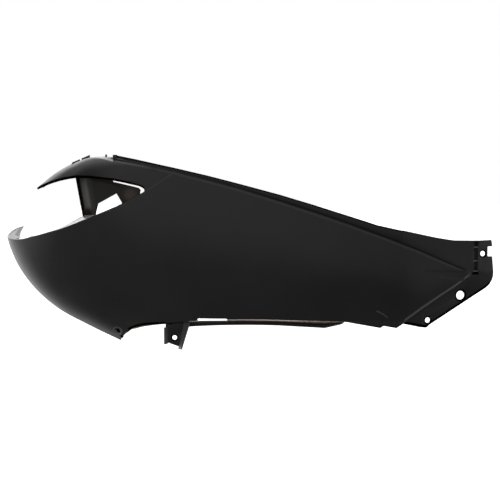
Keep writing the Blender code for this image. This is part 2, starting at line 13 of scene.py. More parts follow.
import bpy
import numpy as np
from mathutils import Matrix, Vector


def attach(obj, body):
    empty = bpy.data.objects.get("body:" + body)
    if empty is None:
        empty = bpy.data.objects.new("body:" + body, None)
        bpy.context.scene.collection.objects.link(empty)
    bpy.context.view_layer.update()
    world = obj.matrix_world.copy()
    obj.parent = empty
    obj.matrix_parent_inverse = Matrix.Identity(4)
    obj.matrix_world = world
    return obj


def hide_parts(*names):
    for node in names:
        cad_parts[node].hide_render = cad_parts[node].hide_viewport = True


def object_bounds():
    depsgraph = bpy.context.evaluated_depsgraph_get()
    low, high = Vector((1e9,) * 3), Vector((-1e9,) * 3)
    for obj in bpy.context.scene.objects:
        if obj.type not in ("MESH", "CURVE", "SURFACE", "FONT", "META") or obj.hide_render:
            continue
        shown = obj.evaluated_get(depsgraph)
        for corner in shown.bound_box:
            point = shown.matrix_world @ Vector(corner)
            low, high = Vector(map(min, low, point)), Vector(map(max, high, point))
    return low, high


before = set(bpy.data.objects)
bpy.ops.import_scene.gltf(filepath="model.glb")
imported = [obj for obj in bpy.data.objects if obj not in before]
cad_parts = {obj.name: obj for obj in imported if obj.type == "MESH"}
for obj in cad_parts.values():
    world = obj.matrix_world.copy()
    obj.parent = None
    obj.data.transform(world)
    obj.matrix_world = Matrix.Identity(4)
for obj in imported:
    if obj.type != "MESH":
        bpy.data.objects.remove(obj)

LOG = logging.getLogger("side_panel")

MM = 0.001
NODE = "side_panel"
BODY = "root"
CAD_BOX = [list(corner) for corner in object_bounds()]
TINY = 1e-12
CURVE_SAMPLES = 600
HALVINGS = 14
PULL = 0.3
BEVEL_STEPS = 3
BEVEL_ANGLE = 25
SHARP_ANGLE = 32

Array = np.ndarray
Rows = tuple[tuple[float, ...], ...]
Span = tuple[float, float]
Colour = tuple[float, float, float]
Place = tuple[float, float, float]
Socket = bpy.types.NodeSocket


class Side(Enum):
    """The edges of the face that a flange can follow."""

    BOTTOM = "bottom"
    TOP = "top"


# Curves and grids


def unit(rows: Array) -> Array:
    """Bring each row to a length of 1."""
    return rows / np.maximum(np.linalg.norm(rows, axis=1), TINY)[:, None]


def outward(tangent: Array) -> Array:
    """Give the unit directions in front view that lie to the right of the tangents."""
    return unit(np.stack([tangent[:, 2], np.zeros(len(tangent)), -tangent[:, 0]], axis=1))


def smooth_curve(knots: Sequence[Sequence[float]], shares: Array) -> Array:
    """Work out a smooth curve through knots.

    Each span is a cubic whose end tangents are the mean of the neighbouring chords, weighted by the other's length.

    Args:
        knots: Points of the curve, of any number of coordinates; the first two measure its length.
        shares: Where the points are wanted, as shares of the length.

    Returns:
        One row per share.
    """
    points = np.array(knots, float)
    lengths = np.linalg.norm(np.diff(points[:, :2], axis=0), axis=1)
    at = np.concatenate([[0], np.cumsum(lengths)]) / lengths.sum()
    chords = np.diff(points, axis=0) / np.diff(at)[:, None]
    weights = np.diff(at)[:, None]
    inner = (chords[:-1] * weights[1:] + chords[1:] * weights[:-1]) / (weights[:-1] + weights[1:])
    tangents = np.vstack([1.5 * chords[0] - 0.5 * inner[0], inner, 1.5 * chords[-1] - 0.5 * inner[-1]])
    span = np.clip(np.searchsorted(at, shares, side="right") - 1, 0, len(chords) - 1)
    width = weights[span]
    t = (np.asarray(shares) - at[span])[:, None] / width
    start, end = points[span], points[span + 1]
    rise = (2 * t**3 - 3 * t**2 + 1) * start + (3 * t**2 - 2 * t**3) * end
    return rise + width * ((t**3 - 2 * t**2 + t) * tangents[span] + (t**3 - t**2) * tangents[span + 1])


def eased(table: Sequence[Sequence[float]], at: Array) -> list[Array]:
    """Read a table of (place, values) rows at any place, on smooth curves: one array per column of values."""
    curve = smooth_curve(table, np.linspace(0, 1, CURVE_SAMPLES))
    return [np.interp(at, curve[:, 0], column) for column in curve.T[1:]]


def between(table: Rows, at: Array) -> Array:
    """Read a table of (place, value) rows at any place, on straight lines, held at its ends."""
    return np.interp(at, *np.array(table, float).T)


def stations(*corners: tuple[Array, Array, Array]) -> Array:
    """Put the x, y and z of a bar's corners together: one row of corners per station."""
    return np.stack([np.stack(corner, axis=1) for corner in corners], axis=1)


def spline_weights(count: int, places: Array) -> Array:
    """Give each control point's weight in a smooth curve, as a row per place; they stand at 0 to count - 1."""
    knots = np.hstack([np.arange(count)[:, None].astype(float), np.zeros((count, 1)), np.eye(count)])
    return smooth_curve(knots, np.asarray(places) / (count - 1))[:, 2:]


def grid_quads(rows: int, columns: int, wrap_rows: bool = False, wrap_columns: bool = False) -> Array:
    """List the quads of a grid of points, stored row by row.

    Args:
        rows: Number of rows of points.
        columns: Number of columns of points.
        wrap_rows: Whether the last row joins the first.
        wrap_columns: Whether the last column joins the first.

    Returns:
        One row of four indices per quad.
    """
    i = np.arange(rows if wrap_rows else rows - 1)[:, None]
    j = np.arange(columns if wrap_columns else columns - 1)[None]
    here, below = i * columns, (i + 1) % rows * columns
    right = (j + 1) % columns
    return np.stack(np.broadcast_arrays(here + j, below + j, below + right, here + right), axis=-1).reshape(-1, 4)


def vertex_normals(points: Array, quads: Array) -> Array:
    """Work out the unit normal at each point: the sum of the cross products of its quads' diagonals.

    Args:
        points: Points of the mesh.
        quads: Its quads.

    Returns:
        One unit vector per point.
    """
    corners = points[quads]
    areas = np.cross(corners[:, 2] - corners[:, 0], corners[:, 3] - corners[:, 1])
    total = np.zeros_like(points)
    np.add.at(total, quads.ravel(), np.repeat(areas, 4, axis=0))
    return unit(total)


def compacted(points: Array, quads: Array) -> tuple[Array, Array]:
    """Drop the points that no quad uses, and number the rest again."""
    used, flat = np.unique(quads, return_inverse=True)
    return points[used], flat.reshape(quads.shape)


def boundary_edges(quads: Array) -> Array:
    """List the edges that only one quad has, in that quad's own direction.

    Args:
        quads: Quads of a mesh.

    Returns:
        A row of two points per edge.
    """
    edges = quads[:, [0, 1, 1, 2, 2, 3, 3, 0]].reshape(-1, 2)
    keys = edges.min(axis=1) * (quads.max() + 1) + edges.max(axis=1)
    _, first, count = np.unique(keys, return_index=True, return_counts=True)
    return edges[first[count == 1]]


def inside_outline(plan: Array, outline: Array) -> Array:
    """Tell which points lie in a closed outline: those whose level line crosses it an odd number of times.

    Args:
        plan: Points, as rows of two coordinates.
        outline: The outline's corners, as rows of two coordinates.

    Returns:
        One flag per point.
    """
    start, end = outline, np.roll(outline, -1, axis=0)
    flags = np.zeros(len(plan), bool)
    low, high = outline.min(axis=0), outline.max(axis=0)
    near = np.all((plan >= low) & (plan <= high), axis=1)
    x, z = plan[near, :1], plan[near, 1:]
    spans = (start[:, 1] > z) != (end[:, 1] > z)
    rise = np.where(end[:, 1] == start[:, 1], 1, end[:, 1] - start[:, 1])
    crossing = start[:, 0] + (z - start[:, 1]) * (end[:, 0] - start[:, 0]) / rise
    flags[near] = np.sum(spans & (x < crossing), axis=1) % 2 == 1
    return flags


def within(outline: Rows) -> Callable[[Array], Array]:
    """Give the test for points that lie in an outline in front view."""
    border = np.array(outline, float)
    return lambda points: inside_outline(points[:, [0, 2]], border)


def trimmed(points: Array, quads: Array, inside: Callable[[Array], Array]) -> tuple[Array, Array]:
    """Cut away the part of a sheet where a test holds, and slide the sheet's new edge onto the border.

    A point just past the border moves along the edge or diagonal that crosses it soonest, to the crossing, which
    is found by halving. A point that is short of it by less than PULL of such an edge moves onto it first, so that
    no thin quads are left.

    Args:
        points: The sheet's points.
        quads: Its quads.
        inside: The test, for an array of points.

    Returns:
        The points and quads that are left.
    """
    points = points.copy()
    gone = inside(points)
    for step in (0, 1):
        mixed = quads[gone[quads].any(axis=1) & ~gone[quads].all(axis=1)]
        pairs = mixed[:, [0, 1, 0, 2, 0, 3, 1, 2, 1, 3, 2, 3]].reshape(-1, 2)
        pairs = np.vstack([pairs, pairs[:, ::-1]])
        pairs = np.unique(pairs[gone[pairs[:, 0]] & ~gone[pairs[:, 1]]], axis=0)
        lost, kept = points[pairs[:, 0]], points[pairs[:, 1]]
        low, high = np.zeros(len(pairs)), np.ones(len(pairs))
        for _ in range(HALVINGS):
            middle = (low + high) / 2
            still = inside(lost + middle[:, None] * (kept - lost))
            low, high = np.where(still, middle, low), np.where(still, high, middle)
        target = lost + high[:, None] * (kept - lost)
        if step == 0:
            mover, reach, limit = pairs[:, 1], 1 - high, PULL
        else:
            mover, reach, limit = pairs[:, 0], high, math.inf
        order = np.lexsort((reach, mover))
        _, first = np.unique(mover[order], return_index=True)
        chosen = order[first]
        chosen = chosen[reach[chosen] < limit]
        points[mover[chosen]] = target[chosen]
        if step == 0:
            gone[mover[chosen]] = True
    return compacted(points, quads[~gone[quads].all(axis=1)])


@dataclass(frozen=True)
class Wall:
    """A moulded wall's thickness and the small round along its cut edges, in millimetres."""

    thickness: float = 2.4
    round: float = 0.55
    steps: int = 3

    def edge_profile(self) -> Array:
        """Give the edge's section as (outward, inward) rows: a quarter round, a flat and a quarter round.

        Returns:
            One row per point of the section.
        """
        turn = np.linspace(0, math.pi / 2, self.steps + 1)[1:]
        first = np.stack([np.sin(turn), 1 - np.cos(turn)], axis=1) * self.round
        return np.vstack([first, np.array([0, self.thickness]) + first[::-1] * [1, -1]])

    def closed(self, points: Array, quads: Array) -> tuple[Array, Array, Array]:
        """Give a sheet its thickness, inwards, with a round edge wherever the sheet ends.

        The inner face is the outer one moved back along its normals. The edge's section is carried along each
        border, in the plane of the normal and of the direction that leaves the sheet.

        Args:
            points: The outer face's points.
            quads: Its quads.

        Returns:
            Points and quads of the closed wall, and marks: 1 for a point of a cut edge and 0 for the rest.
        """
        normals = vertex_normals(points, quads)
        border = boundary_edges(quads)
        rim = np.unique(border)
        place = np.full(len(points), -1)
        place[rim] = np.arange(len(rim))
        start, end = place[border[:, 0]], place[border[:, 1]]
        ahead = np.zeros((len(rim), 3))
        step = unit(points[border[:, 1]] - points[border[:, 0]])
        np.add.at(ahead, start, step)
        np.add.at(ahead, end, step)
        away = unit(np.cross(ahead, normals[rim]))
        inner = points - self.thickness * normals
        sheets = [points, inner]
        rings = [rim]
        total = 2 * len(points)
        for out, down in self.edge_profile():
            sheets.append(points[rim] + out * away - down * normals[rim])
            rings.append(np.arange(total, total + len(rim)))
            total += len(rim)
        rings.append(rim + len(points))
        bands = [np.stack([a[end], a[start], b[start], b[end]], axis=1) for a, b in zip(rings, rings[1:])]
        marks = (np.arange(total) >= 2 * len(points)).astype(float)
        return np.vstack(sheets), np.vstack([quads, quads[:, ::-1] + len(points), *bands]), marks


@dataclass(frozen=True)
class Bar:
    """A section carried along stations, closed at both ends. A round takes up one of its side's shares at most."""

    round: float = 0.4
    steps: int = 3
    shares: float = 2.01

    def section(self) -> Array:
        """Give the section's corner rounds as (u side, v side, u round, v round) rows, once round a rectangle.

        Returns:
            One row per point of the section.
        """
        turn = np.linspace(0, math.pi / 2, self.steps + 1)
        rows = []
        for side_u, side_v, begin in ((0, 0, math.pi), (1, 0, 1.5 * math.pi), (1, 1, 0), (0, 1, 0.5 * math.pi)):
            inset = np.array([1 - 2 * side_u, 1 - 2 * side_v])
            arc = np.stack([np.cos(begin + turn), np.sin(begin + turn)], axis=1) + inset
            rows.append(np.hstack([np.tile([side_u, side_v], (len(arc), 1)), arc]))
        return np.vstack(rows)

    def swept(self, corners: Array) -> tuple[Array, Array, Array]:
        """Carry a rounded section through stations of four corners each.

        A point of the section is the corner it belongs to, moved along the station's two sides by the round.

        Args:
            corners: Stations of four corners: (0, 0), (1, 0), (1, 1) and (0, 1) of the section.

        Returns:
            Points and quads of the closed bar, and marks: 1 inside a corner's round and 0 for the rest.
        """
        rows = self.section()
        index = np.array([[0, 3], [1, 2]])[rows[:, 0].astype(int), rows[:, 1].astype(int)]
        along = corners[:, 1] - corners[:, 0]
        across = corners[:, 3] - corners[:, 0]
        width = np.minimum(self.round, np.linalg.norm(along, axis=1) / self.shares)
        height = np.minimum(self.round, np.linalg.norm(across, axis=1) / self.shares)
        points = corners[:, index]
        points = points + unit(along)[:, None] * (width[:, None] * rows[:, 2])[..., None]
        points = points + unit(across)[:, None] * (height[:, None] * rows[:, 3])[..., None]
        stations, around = points.shape[:2]
        middles = points[[0, -1]].mean(axis=1)
        quads = grid_quads(stations, around, wrap_columns=True)
        ring = np.arange(around)
        last = (stations - 1) * around
        hub = stations * around
        first_cap = np.stack([np.full(around, hub), ring, np.roll(ring, -1), np.roll(ring, -1)], axis=1)
        last_cap = np.stack([np.full(around, hub + 1), last + np.roll(ring, -1), last + ring, last + ring], axis=1)
        marks = np.tile(np.tile([0, *[1] * (self.steps - 1), 0], 4), stations)
        faces = np.vstack([quads, first_cap, last_cap])
        return np.vstack([points.reshape(-1, 3), middles]), faces, np.append(marks, [0, 0]).astype(float)


# Finishes, and the light and shade painted on them


@dataclass(frozen=True)
class Graph:
    """A node tree, with the few kinds of node that the materials and the room are made of."""

    tree: bpy.types.NodeTree

    def add(self, kind: str, inputs: dict[str | int, Any], **options: str | bool) -> bpy.types.Node:
        """Add a node.

        Args:
            kind: Its type, without the prefix that all shader nodes share.
            inputs: A number, a vector or another node's output for each input, by name or by place.
            options: Its options, which are set first.

        Returns:
            The node.
        """
        node = self.tree.nodes.new(f"ShaderNode{kind}")
        for name, option in options.items():
            setattr(node, name, option)
        for name, value in inputs.items():
            if isinstance(value, Socket):
                self.tree.links.new(value, node.inputs[name])
            else:
                node.inputs[name].default_value = value
        return node

    def math(self, operation: str, *values: Socket | float) -> Socket:
        """Work out one operation on values."""
        return self.add("Math", dict(enumerate(values)), operation=operation).outputs["Value"]

    def mapped(self, value: Socket, source: Span, target: Span = (0, 1), kind: str = "LINEAR") -> Socket:
        """Map a value from one range to another, held at its ends."""
        limits = dict(zip(("From Min", "From Max", "To Min", "To Max"), (*source, *target)))
        return self.add("MapRange", {"Value": value, **limits}, interpolation_type=kind).outputs["Result"]

    def mixed(self, share: Socket, low: Socket | Colour, high: Socket | Colour) -> Socket:
        """Mix two colours, each given as numbers or as the output of another node."""
        sides = {name: (*side, 1) if isinstance(side, tuple) else side for name, side in (("A", low), ("B", high))}
        return self.add("Mix", {"Factor": share, **sides}, data_type="RGBA").outputs["Result"]

    def ramp(self, value: Socket, stops: Sequence[tuple[float, Any]], kind: str = "LINEAR") -> bpy.types.Node:
        """Add a ramp of colours with alpha, at stops between 0 and 1 in any order.

        Args:
            value: Where to read the ramp.
            stops: Places and their colours.
            kind: How it passes between them.

        Returns:
            The ramp's node.
        """
        node = self.add("ValToRGB", {"Fac": value})
        node.color_ramp.interpolation = kind
        elements = node.color_ramp.elements
        for _ in stops[2:]:
            elements.new(0.5)
        for element, (at, colour) in zip(elements, sorted(stops)):
            element.position, element.color = at, colour
        return node

    def noise(self, place: Socket, scale: float, detail: float = 2) -> Socket:
        """Add a noise of this scale, per metre, and give its value."""
        return self.add("TexNoise", {"Vector": place, "Scale": scale, "Detail": detail}).outputs["Fac"]


@dataclass(frozen=True)
class Trace:
    """A line in the surface's tone, seen from outside: along (x, z) points with x rising, or a ring round one.

    It is a painted highlight, painted shade or painted reflection band, as its tone makes it. Its width is counted
    from its middle, its core is the share of it that has the full tone, and lift moves it up.
    A ramp holds its heights, from low over span, and it fades at both ends over a share of its length.
    """

    points: Rows
    width: float
    # The default tone is painted shade
    tone: Colour = (0.002, 0.002, 0.002)
    specular: float = 0.0
    lift: float = 0.0
    radius: float = 0.0
    core: float = 0.4
    low: float = -100.0
    span: float = 350.0
    fade: float = 0.02

    def share(self, graph: Graph, axes: bpy.types.Node) -> Socket:
        """Give how far a place belongs to the line: 1 in its core, falling to 0 at its half width.

        Args:
            graph: The node tree that the nodes are added to.
            axes: The node that gives a place's coordinates.

        Returns:
            The share's output.
        """
        across, up = axes.outputs["X"], axes.outputs["Z"]
        if len(self.points) == 1:
            x, z = self.points[0]
            flat = graph.add("CombineXYZ", {"X": across, "Z": up}).outputs["Vector"]
            away = graph.add("VectorMath", {0: flat, 1: (x * MM, 0, z * MM)}, operation="DISTANCE")
            return self._falling(graph, graph.math("SUBTRACT", away.outputs["Value"], self.radius * MM), MM)
        x, z = np.array(self.points, float).T
        at = (x - x[0]) / (x[-1] - x[0])
        stops = np.union1d(at, (self.fade, 1 - self.fade))
        levels = (np.interp(stops, at, z) + self.lift - self.low) / self.span
        line = graph.ramp(
            graph.mapped(across, (x[0] * MM, x[-1] * MM)),
            [(stop, (level, level, level, float(0 < stop < 1))) for stop, level in zip(stops, levels)],
        )
        height = graph.mapped(up, (self.low * MM, (self.low + self.span) * MM))
        near = self._falling(graph, graph.math("SUBTRACT", height, line.outputs["Color"]), 1 / self.span)
        return graph.math("MULTIPLY", near, line.outputs["Alpha"])

    def _falling(self, graph: Graph, apart: Socket, unit: float) -> Socket:
        """Turn a distance from the line's middle into its share there."""
        source = (self.width * self.core * unit, self.width * unit)
        return graph.mapped(graph.math("ABSOLUTE", apart), source, (1, 0), "SMOOTHSTEP")


@dataclass(frozen=True)
class MouldedBlack:
    """Semi-gloss black plastic as it leaves the mould: fine grain, soft waviness and faint rub marks.

    The scales of the noises are per metre, and the depths of the bumps are in metres. Highlights and shade can be
    painted on it, along its cut edges and along lines.
    """

    name: str
    dark: Colour = (0.0165, 0.0165, 0.0168)
    pale: Colour = (0.0225, 0.0224, 0.022)
    roughness: float = 0.3
    spread: float = 0.06
    grain: float = 0.035
    wave: float = 0.25
    specular: float = 0.5
    rubs: float = 0.35
    # Tone and sheen of cut edges: a painted highlight by default, painted shade in the finishes that make them dark
    edge_tone: Colour = (0.8, 0.8, 0.81)
    edge_specular: float = 0.5
    # Lines of painted light and shade
    traces: tuple[Trace, ...] = ()
    # Painted shadow on cut edges that lie in shade, where the edge mark is negative
    painted_shade_tone: Colour = (0.009, 0.006, 0.005)
    rub_tone: Colour = (0.045, 0.045, 0.046)
    rub_roughness: float = 0.15
    cloud_scale: float = 9
    cloud_detail: float = 4
    tone_stops: Span = (0.35, 0.68)
    rough_stops: Span = (0.3, 0.7)
    rub_turn: Place = (0, 0.25, 0)
    rub_stretch: Place = (14, 60, 420)
    rub_detail: float = 3
    rub_stops: Span = (0.7, 0.82)
    patch_scale: float = 22
    patch_stops: Span = (0.5, 0.7)
    swell_scale: float = 60
    swell_depth: float = 0.00012
    speck_scale: float = 900
    speck_depth: float = 0.0002

    def made(self) -> bpy.types.Material:
        """Build the material: two blacks and two roughnesses mixed by noise, with grain and waviness as bump.

        Cut edges, which the edge attribute marks, get a tone and a sheen of their own: a painted highlight, or painted
        shade where the finish makes them dark. Where the mark is negative, they get painted shadow. The traces lay
        painted lines of light and shade over the rest.

        Returns:
            The material.
        """
        material = bpy.data.materials.new(self.name)
        material.use_nodes = True
        graph = Graph(material.node_tree)
        place = graph.add("TexCoord", {}).outputs["Object"]
        axes = graph.add("SeparateXYZ", {"Vector": place})
        edge = graph.add("Attribute", {}, attribute_name="edge").outputs["Fac"]
        # Share of painted shadow: the negative part of the edge mark
        painted_shade_share = graph.add("Math", {0: edge, 1: -1}, operation="MULTIPLY", use_clamp=True).outputs["Value"]
        cloud, rub = graph.noise(place, self.cloud_scale, self.cloud_detail), self._rubs(graph, place)
        blacks = list(zip(self.tone_stops, ((*self.dark, 1), (*self.pale, 1))))
        tone = graph.ramp(cloud, blacks).outputs["Color"]
        # Rub marks are real wear; over them, the edge tone paints a highlight or shade along cut edges, per finish
        tone = graph.mixed(edge, graph.mixed(rub, tone, self.rub_tone), self.edge_tone)
        sheen = graph.mapped(edge, (0, 1), (self.specular, self.edge_specular))
        layers = [(trace.share(graph, axes), trace.tone, trace.specular) for trace in self.traces]
        for share, colour, specular in ((painted_shade_share, self.painted_shade_tone, 0), *layers):
            tone = graph.mixed(share, tone, colour)
            sheen = graph.add("Mix", {"Factor": share, "A": sheen, "B": specular}).outputs["Result"]
        roughs = (self.roughness - self.spread, self.roughness + self.spread)
        rough = graph.mapped(cloud, self.rough_stops, roughs)
        rough = graph.math("MULTIPLY_ADD", rub, self.rub_roughness, rough)
        swell = {"Height": graph.noise(place, self.swell_scale), "Distance": self.swell_depth}
        wavy = graph.add("Bump", {"Strength": self.wave, **swell}).outputs["Normal"]
        speck = {"Height": graph.noise(place, self.speck_scale), "Distance": self.speck_depth}
        fine = graph.add("Bump", {"Strength": self.grain, "Normal": wavy, **speck}).outputs["Normal"]
        shader = graph.tree.nodes["Principled BSDF"]
        names = ("Base Color", "Specular IOR Level", "Roughness", "Normal")
        for name, value in zip(names, (tone, sheen, rough, fine)):
            graph.tree.links.new(value, shader.inputs[name])
        return material

    def _rubs(self, graph: Graph, place: Socket) -> Socket:
        """Give the faint rub marks: the crests of a noise stretched along the panel.

        Args:
            graph: The node tree that the nodes are added to.
            place: A place on the panel.

        Returns:
            How far a place is rubbed.
        """
        stretch = graph.add("Mapping", {"Vector": place, "Rotation": self.rub_turn, "Scale": self.rub_stretch})
        streak = graph.noise(stretch.outputs["Vector"], 1, self.rub_detail)
        lines = graph.mapped(streak, self.rub_stops, (0, self.rubs))
        patches = graph.mapped(graph.noise(place, self.patch_scale), self.patch_stops)
        return graph.math("MULTIPLY", lines, patches)


# The top strip's outer edge, as (x, z)
STRIP_TOP = (
    (-462, 211.4), (-429, 204.8), (-375, 193), (-330, 182.5), (-287, 171.4), (-232, 156.6), (-176, 139.7),
    (-133, 126), (-97.5, 114.4), (-66, 107.3),
)
# Flange black, with painted shade on its cut edges and rounds, and along the lines below
FLANGE_BLACK_WITH_PAINTED_SHADE = MouldedBlack(
    "flange_black_painted_shade", (0.013, 0.013, 0.0135), (0.02, 0.0197, 0.0195), roughness=0.34, grain=0.06, rubs=0.2,
    edge_tone=(0.004, 0.004, 0.004), edge_specular=0.05,
    traces=(
        # Painted shade along the top strip's outer edge, and a painted shadow ring round the tab's hole
        Trace((*STRIP_TOP, (-31, 100.1), (4, 93.1)), 1.8, lift=-0.5),
        Trace(((-378.9, -44.7),), 1.6, radius=4.1),
    ),
)
# Inner black, with painted shade on its cut edges and painted warm light and shade in the mouth
INNER_BLACK_WITH_PAINTED_LIGHT_AND_SHADE = MouldedBlack(
    "inner_black_painted_light_and_shade", (0.022, 0.02, 0.018), (0.036, 0.03, 0.026), roughness=0.42, grain=0.08, specular=0.45, rubs=0.1,
    # Cut edges: painted shade, with no sheen
    edge_tone=(0.001, 0.001, 0.001), edge_specular=0.0,
    traces=(
        # Painted warm light in the mouth's inner corner
        Trace(((-437.1, 156.5),), 15, (0.15, 0.11, 0.088), 0.5, core=0.2),
        # Painted warm-tinted shade at the foot of the post
        Trace(((-499.2, 130.2),), 12, (0.03, 0.022, 0.016), core=0.3),
        # Painted shadow under the upper lip, on the lamp plate
        Trace(((-496.8, 178.4), (-480.3, 175.7), (-462.3, 171.8), (-452.7, 168.1)), 2.6, (0.045, 0.022, 0.015), 0.2),
    ),
)
# Black of the flange's end, with painted shade on its cut edges and painted sheen and shade along the lines below
END_BLACK_WITH_PAINTED_LIGHT_AND_SHADE = MouldedBlack(
    "end_black_painted_light_and_shade", (0.016, 0.016, 0.0165), (0.024, 0.024, 0.0235), roughness=0.36, grain=0.08, rubs=0.25,
    edge_tone=(0.004, 0.004, 0.004), edge_specular=0.05,
    traces=(
        # Painted sheen on the flange's end
        Trace(((64, 68),), 26, (0.045, 0.045, 0.044), 0.5, core=0.75),
        # Painted shade along the flange's lower outline and in its bottom corner
        Trace(((-58.5, -23.8), (-35, -29.3), (-26, -30.4), (-20.5, -25.8), (62.4, 23.4), (67.6, 28), (71, 33.4)), 3.2,
              lift=1.4, core=0.6),
        Trace(((-58.4, -22.5), (-51.4, -23.9), (-43.0, -25.5), (-31.9, -28.1)), 3, lift=0.5),
        # Painted shade round the three holes, at the foot of the groove and along the front crease
        Trace(((56.8, 72),), 2.2, radius=4.2),
        Trace(((24.1, 13.8),), 2.6, radius=6.8),
        Trace(((-24, -19.6),), 2.2, radius=4.3),
        Trace(((41, 44.5), (44, 44.3), (51, 44)), 2.4),
        Trace(((-60.5, -18.5), (-35, -0.6), (-9, 15.8), (13, 27.5), (27, 36.4), (34, 43)), 2.2, lift=-3),
    ),
)
# Pale grey on black ribs and gussets: painted highlights and glints, with painted shade on their rounds
RIB_AND_GUSSET_PAINTED_HIGHLIGHT = MouldedBlack(
    "painted_highlight_grey", (0.15, 0.15, 0.147), (0.21, 0.207, 0.2), roughness=0.45, grain=0.1, rubs=0.3,
    edge_tone=(0.02, 0.02, 0.02), edge_specular=0.3,
)
# Light grey on the black nose ledge: a painted reflection of the bright room
LEDGE_PAINTED_REFLECTION = MouldedBlack("ledge_grey_painted_reflection", (0.42, 0.42, 0.41), (0.5, 0.5, 0.49), roughness=0.34, specular=0.5)
# Near white on the black sill: a painted reflection
SILL_PAINTED_REFLECTION = MouldedBlack("sill_white_painted_reflection", (0.8, 0.82, 0.86), (0.88, 0.9, 0.93), roughness=0.2, specular=1.0)


def linked(name: str, data: bpy.types.ID) -> bpy.types.Object:
    """Make an object of some data and put it in the scene.

    Args:
        name: The object's name.
        data: A mesh, a camera or a light.

    Returns:
        The object.
    """
    obj = bpy.data.objects.new(name, data)
    bpy.context.scene.collection.objects.link(obj)
    return obj


def marked(mesh: bpy.types.Mesh, marks: Array) -> None:
    """Write the edge attribute, which the finishes read."""
    mesh.attributes.new("edge", "FLOAT", "POINT").data.foreach_set("value", marks.astype(np.float32))


def placed(
    name: str,
    points: Array,
    quads: Array,
    marks: Array | None = None,
    finish: MouldedBlack = FLANGE_BLACK_WITH_PAINTED_SHADE,
) -> bpy.types.Object:
    """Make a piece from points in millimetres, dress it and hand it to the frame.

    Args:
        name: The piece's name.
        points: Its points.
        quads: Its faces; one with its last two corners alike is a triangle.
        marks: For each point, how far it belongs to a cut edge, from 0 to 1, or to a shaded one, down to -1.
        finish: Its finish.

    Returns:
        The finished piece.
    """
    triangle = quads[:, 2] == quads[:, 3]
    sizes = np.where(triangle, 3, 4)
    corners = quads[np.stack([np.ones_like(triangle)] * 3 + [~triangle], axis=1)]
    mesh = bpy.data.meshes.new(name)
    mesh.vertices.add(len(points))
    mesh.vertices.foreach_set("co", (points * MM).ravel().astype(np.float32))
    mesh.loops.add(len(corners))
    mesh.loops.foreach_set("vertex_index", corners.astype(np.int32))
    mesh.polygons.add(len(sizes))
    mesh.polygons.foreach_set("loop_start", np.concatenate([[0], np.cumsum(sizes)[:-1]]).astype(np.int32))
    mesh.update(calc_edges=True)
    if marks is not None:
        marked(mesh, marks)
    mesh.validate()
    return handed(mesh, name, finish)


def handed(mesh: bpy.types.Mesh, name: str, finish: MouldedBlack) -> bpy.types.Object:
    """Shade a mesh, keep it inside the part's box, dress it and hand it to the frame as a piece.

    Args:
        mesh: The mesh, in metres.
        name: The piece's name.
        finish: Its finish.

    Returns:
        The piece.
    """
    flat_points = np.empty(3 * len(mesh.vertices), np.float32)
    mesh.vertices.foreach_get("co", flat_points)
    kept = np.clip(flat_points.reshape(-1, 3), *CAD_BOX)
    mesh.vertices.foreach_set("co", kept.ravel())
    mesh.polygons.foreach_set("use_smooth", np.ones(len(mesh.polygons), bool))
    mesh.set_sharp_from_angle(angle=math.radians(SHARP_ANGLE))
    obj = linked(name, mesh)
    material = bpy.data.materials.get(finish.name) or finish.made()
    mesh.materials.clear()
    mesh.materials.append(material)
    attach(obj, BODY)
    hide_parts(NODE)
    return obj


# The skin

# The round that most of the rim's shapes start with: its radius, its middle as (ARC, TURN), and its three steps
RIM_ROUND = 3.5
ARC = RIM_ROUND * math.sin(math.pi / 4)
TURN = RIM_ROUND - ARC
BEND = ((0, 0), (ARC, TURN), (RIM_ROUND, RIM_ROUND))


@dataclass(frozen=True)
class RimShapes:
    """How the rim turns in, as six (outward, inward) steps from the edge of the face, in millimetres."""

    plain: Rows = (*BEND, (RIM_ROUND, 5), (RIM_ROUND, 6.5), (RIM_ROUND, 8))
    flare: Rows = (*BEND, (4.2, 5), (4.8, 6.5), (5.4, 8))
    step: Rows = (*BEND, (RIM_ROUND, 4.6), (RIM_ROUND, 6.2), (RIM_ROUND, 7.5))
    shelf: Rows = (*BEND, (6.4, 14), (9.8, 25), (13, 25.4))
    hem: Rows = (*BEND, (7, 14), (11.4, 25), (14.8, 25.4))
    wedge: Rows = (*BEND, (4.6, 10), (6, 16), (7.2, 16.4))
    toe: Rows = ((0, 0), (0, 3), (0, 6), (-0.5, 9), (-1, 12), (-2, 15))
    nose: Rows = ((0, 0), (-0.5, 10), (-2, 20), (-4.8, 30), (-8.6, 40), (-13, 50))
    brow: Rows = ((0, 0), (0, 6), (-0.6, 12), (-1.4, 18), (-2.4, 24), (-3.6, 30))
    lip: Rows = ((0, 0), (0, 8), (0.3, 16), (0.6, 24), (0.9, 32), (1, 40))


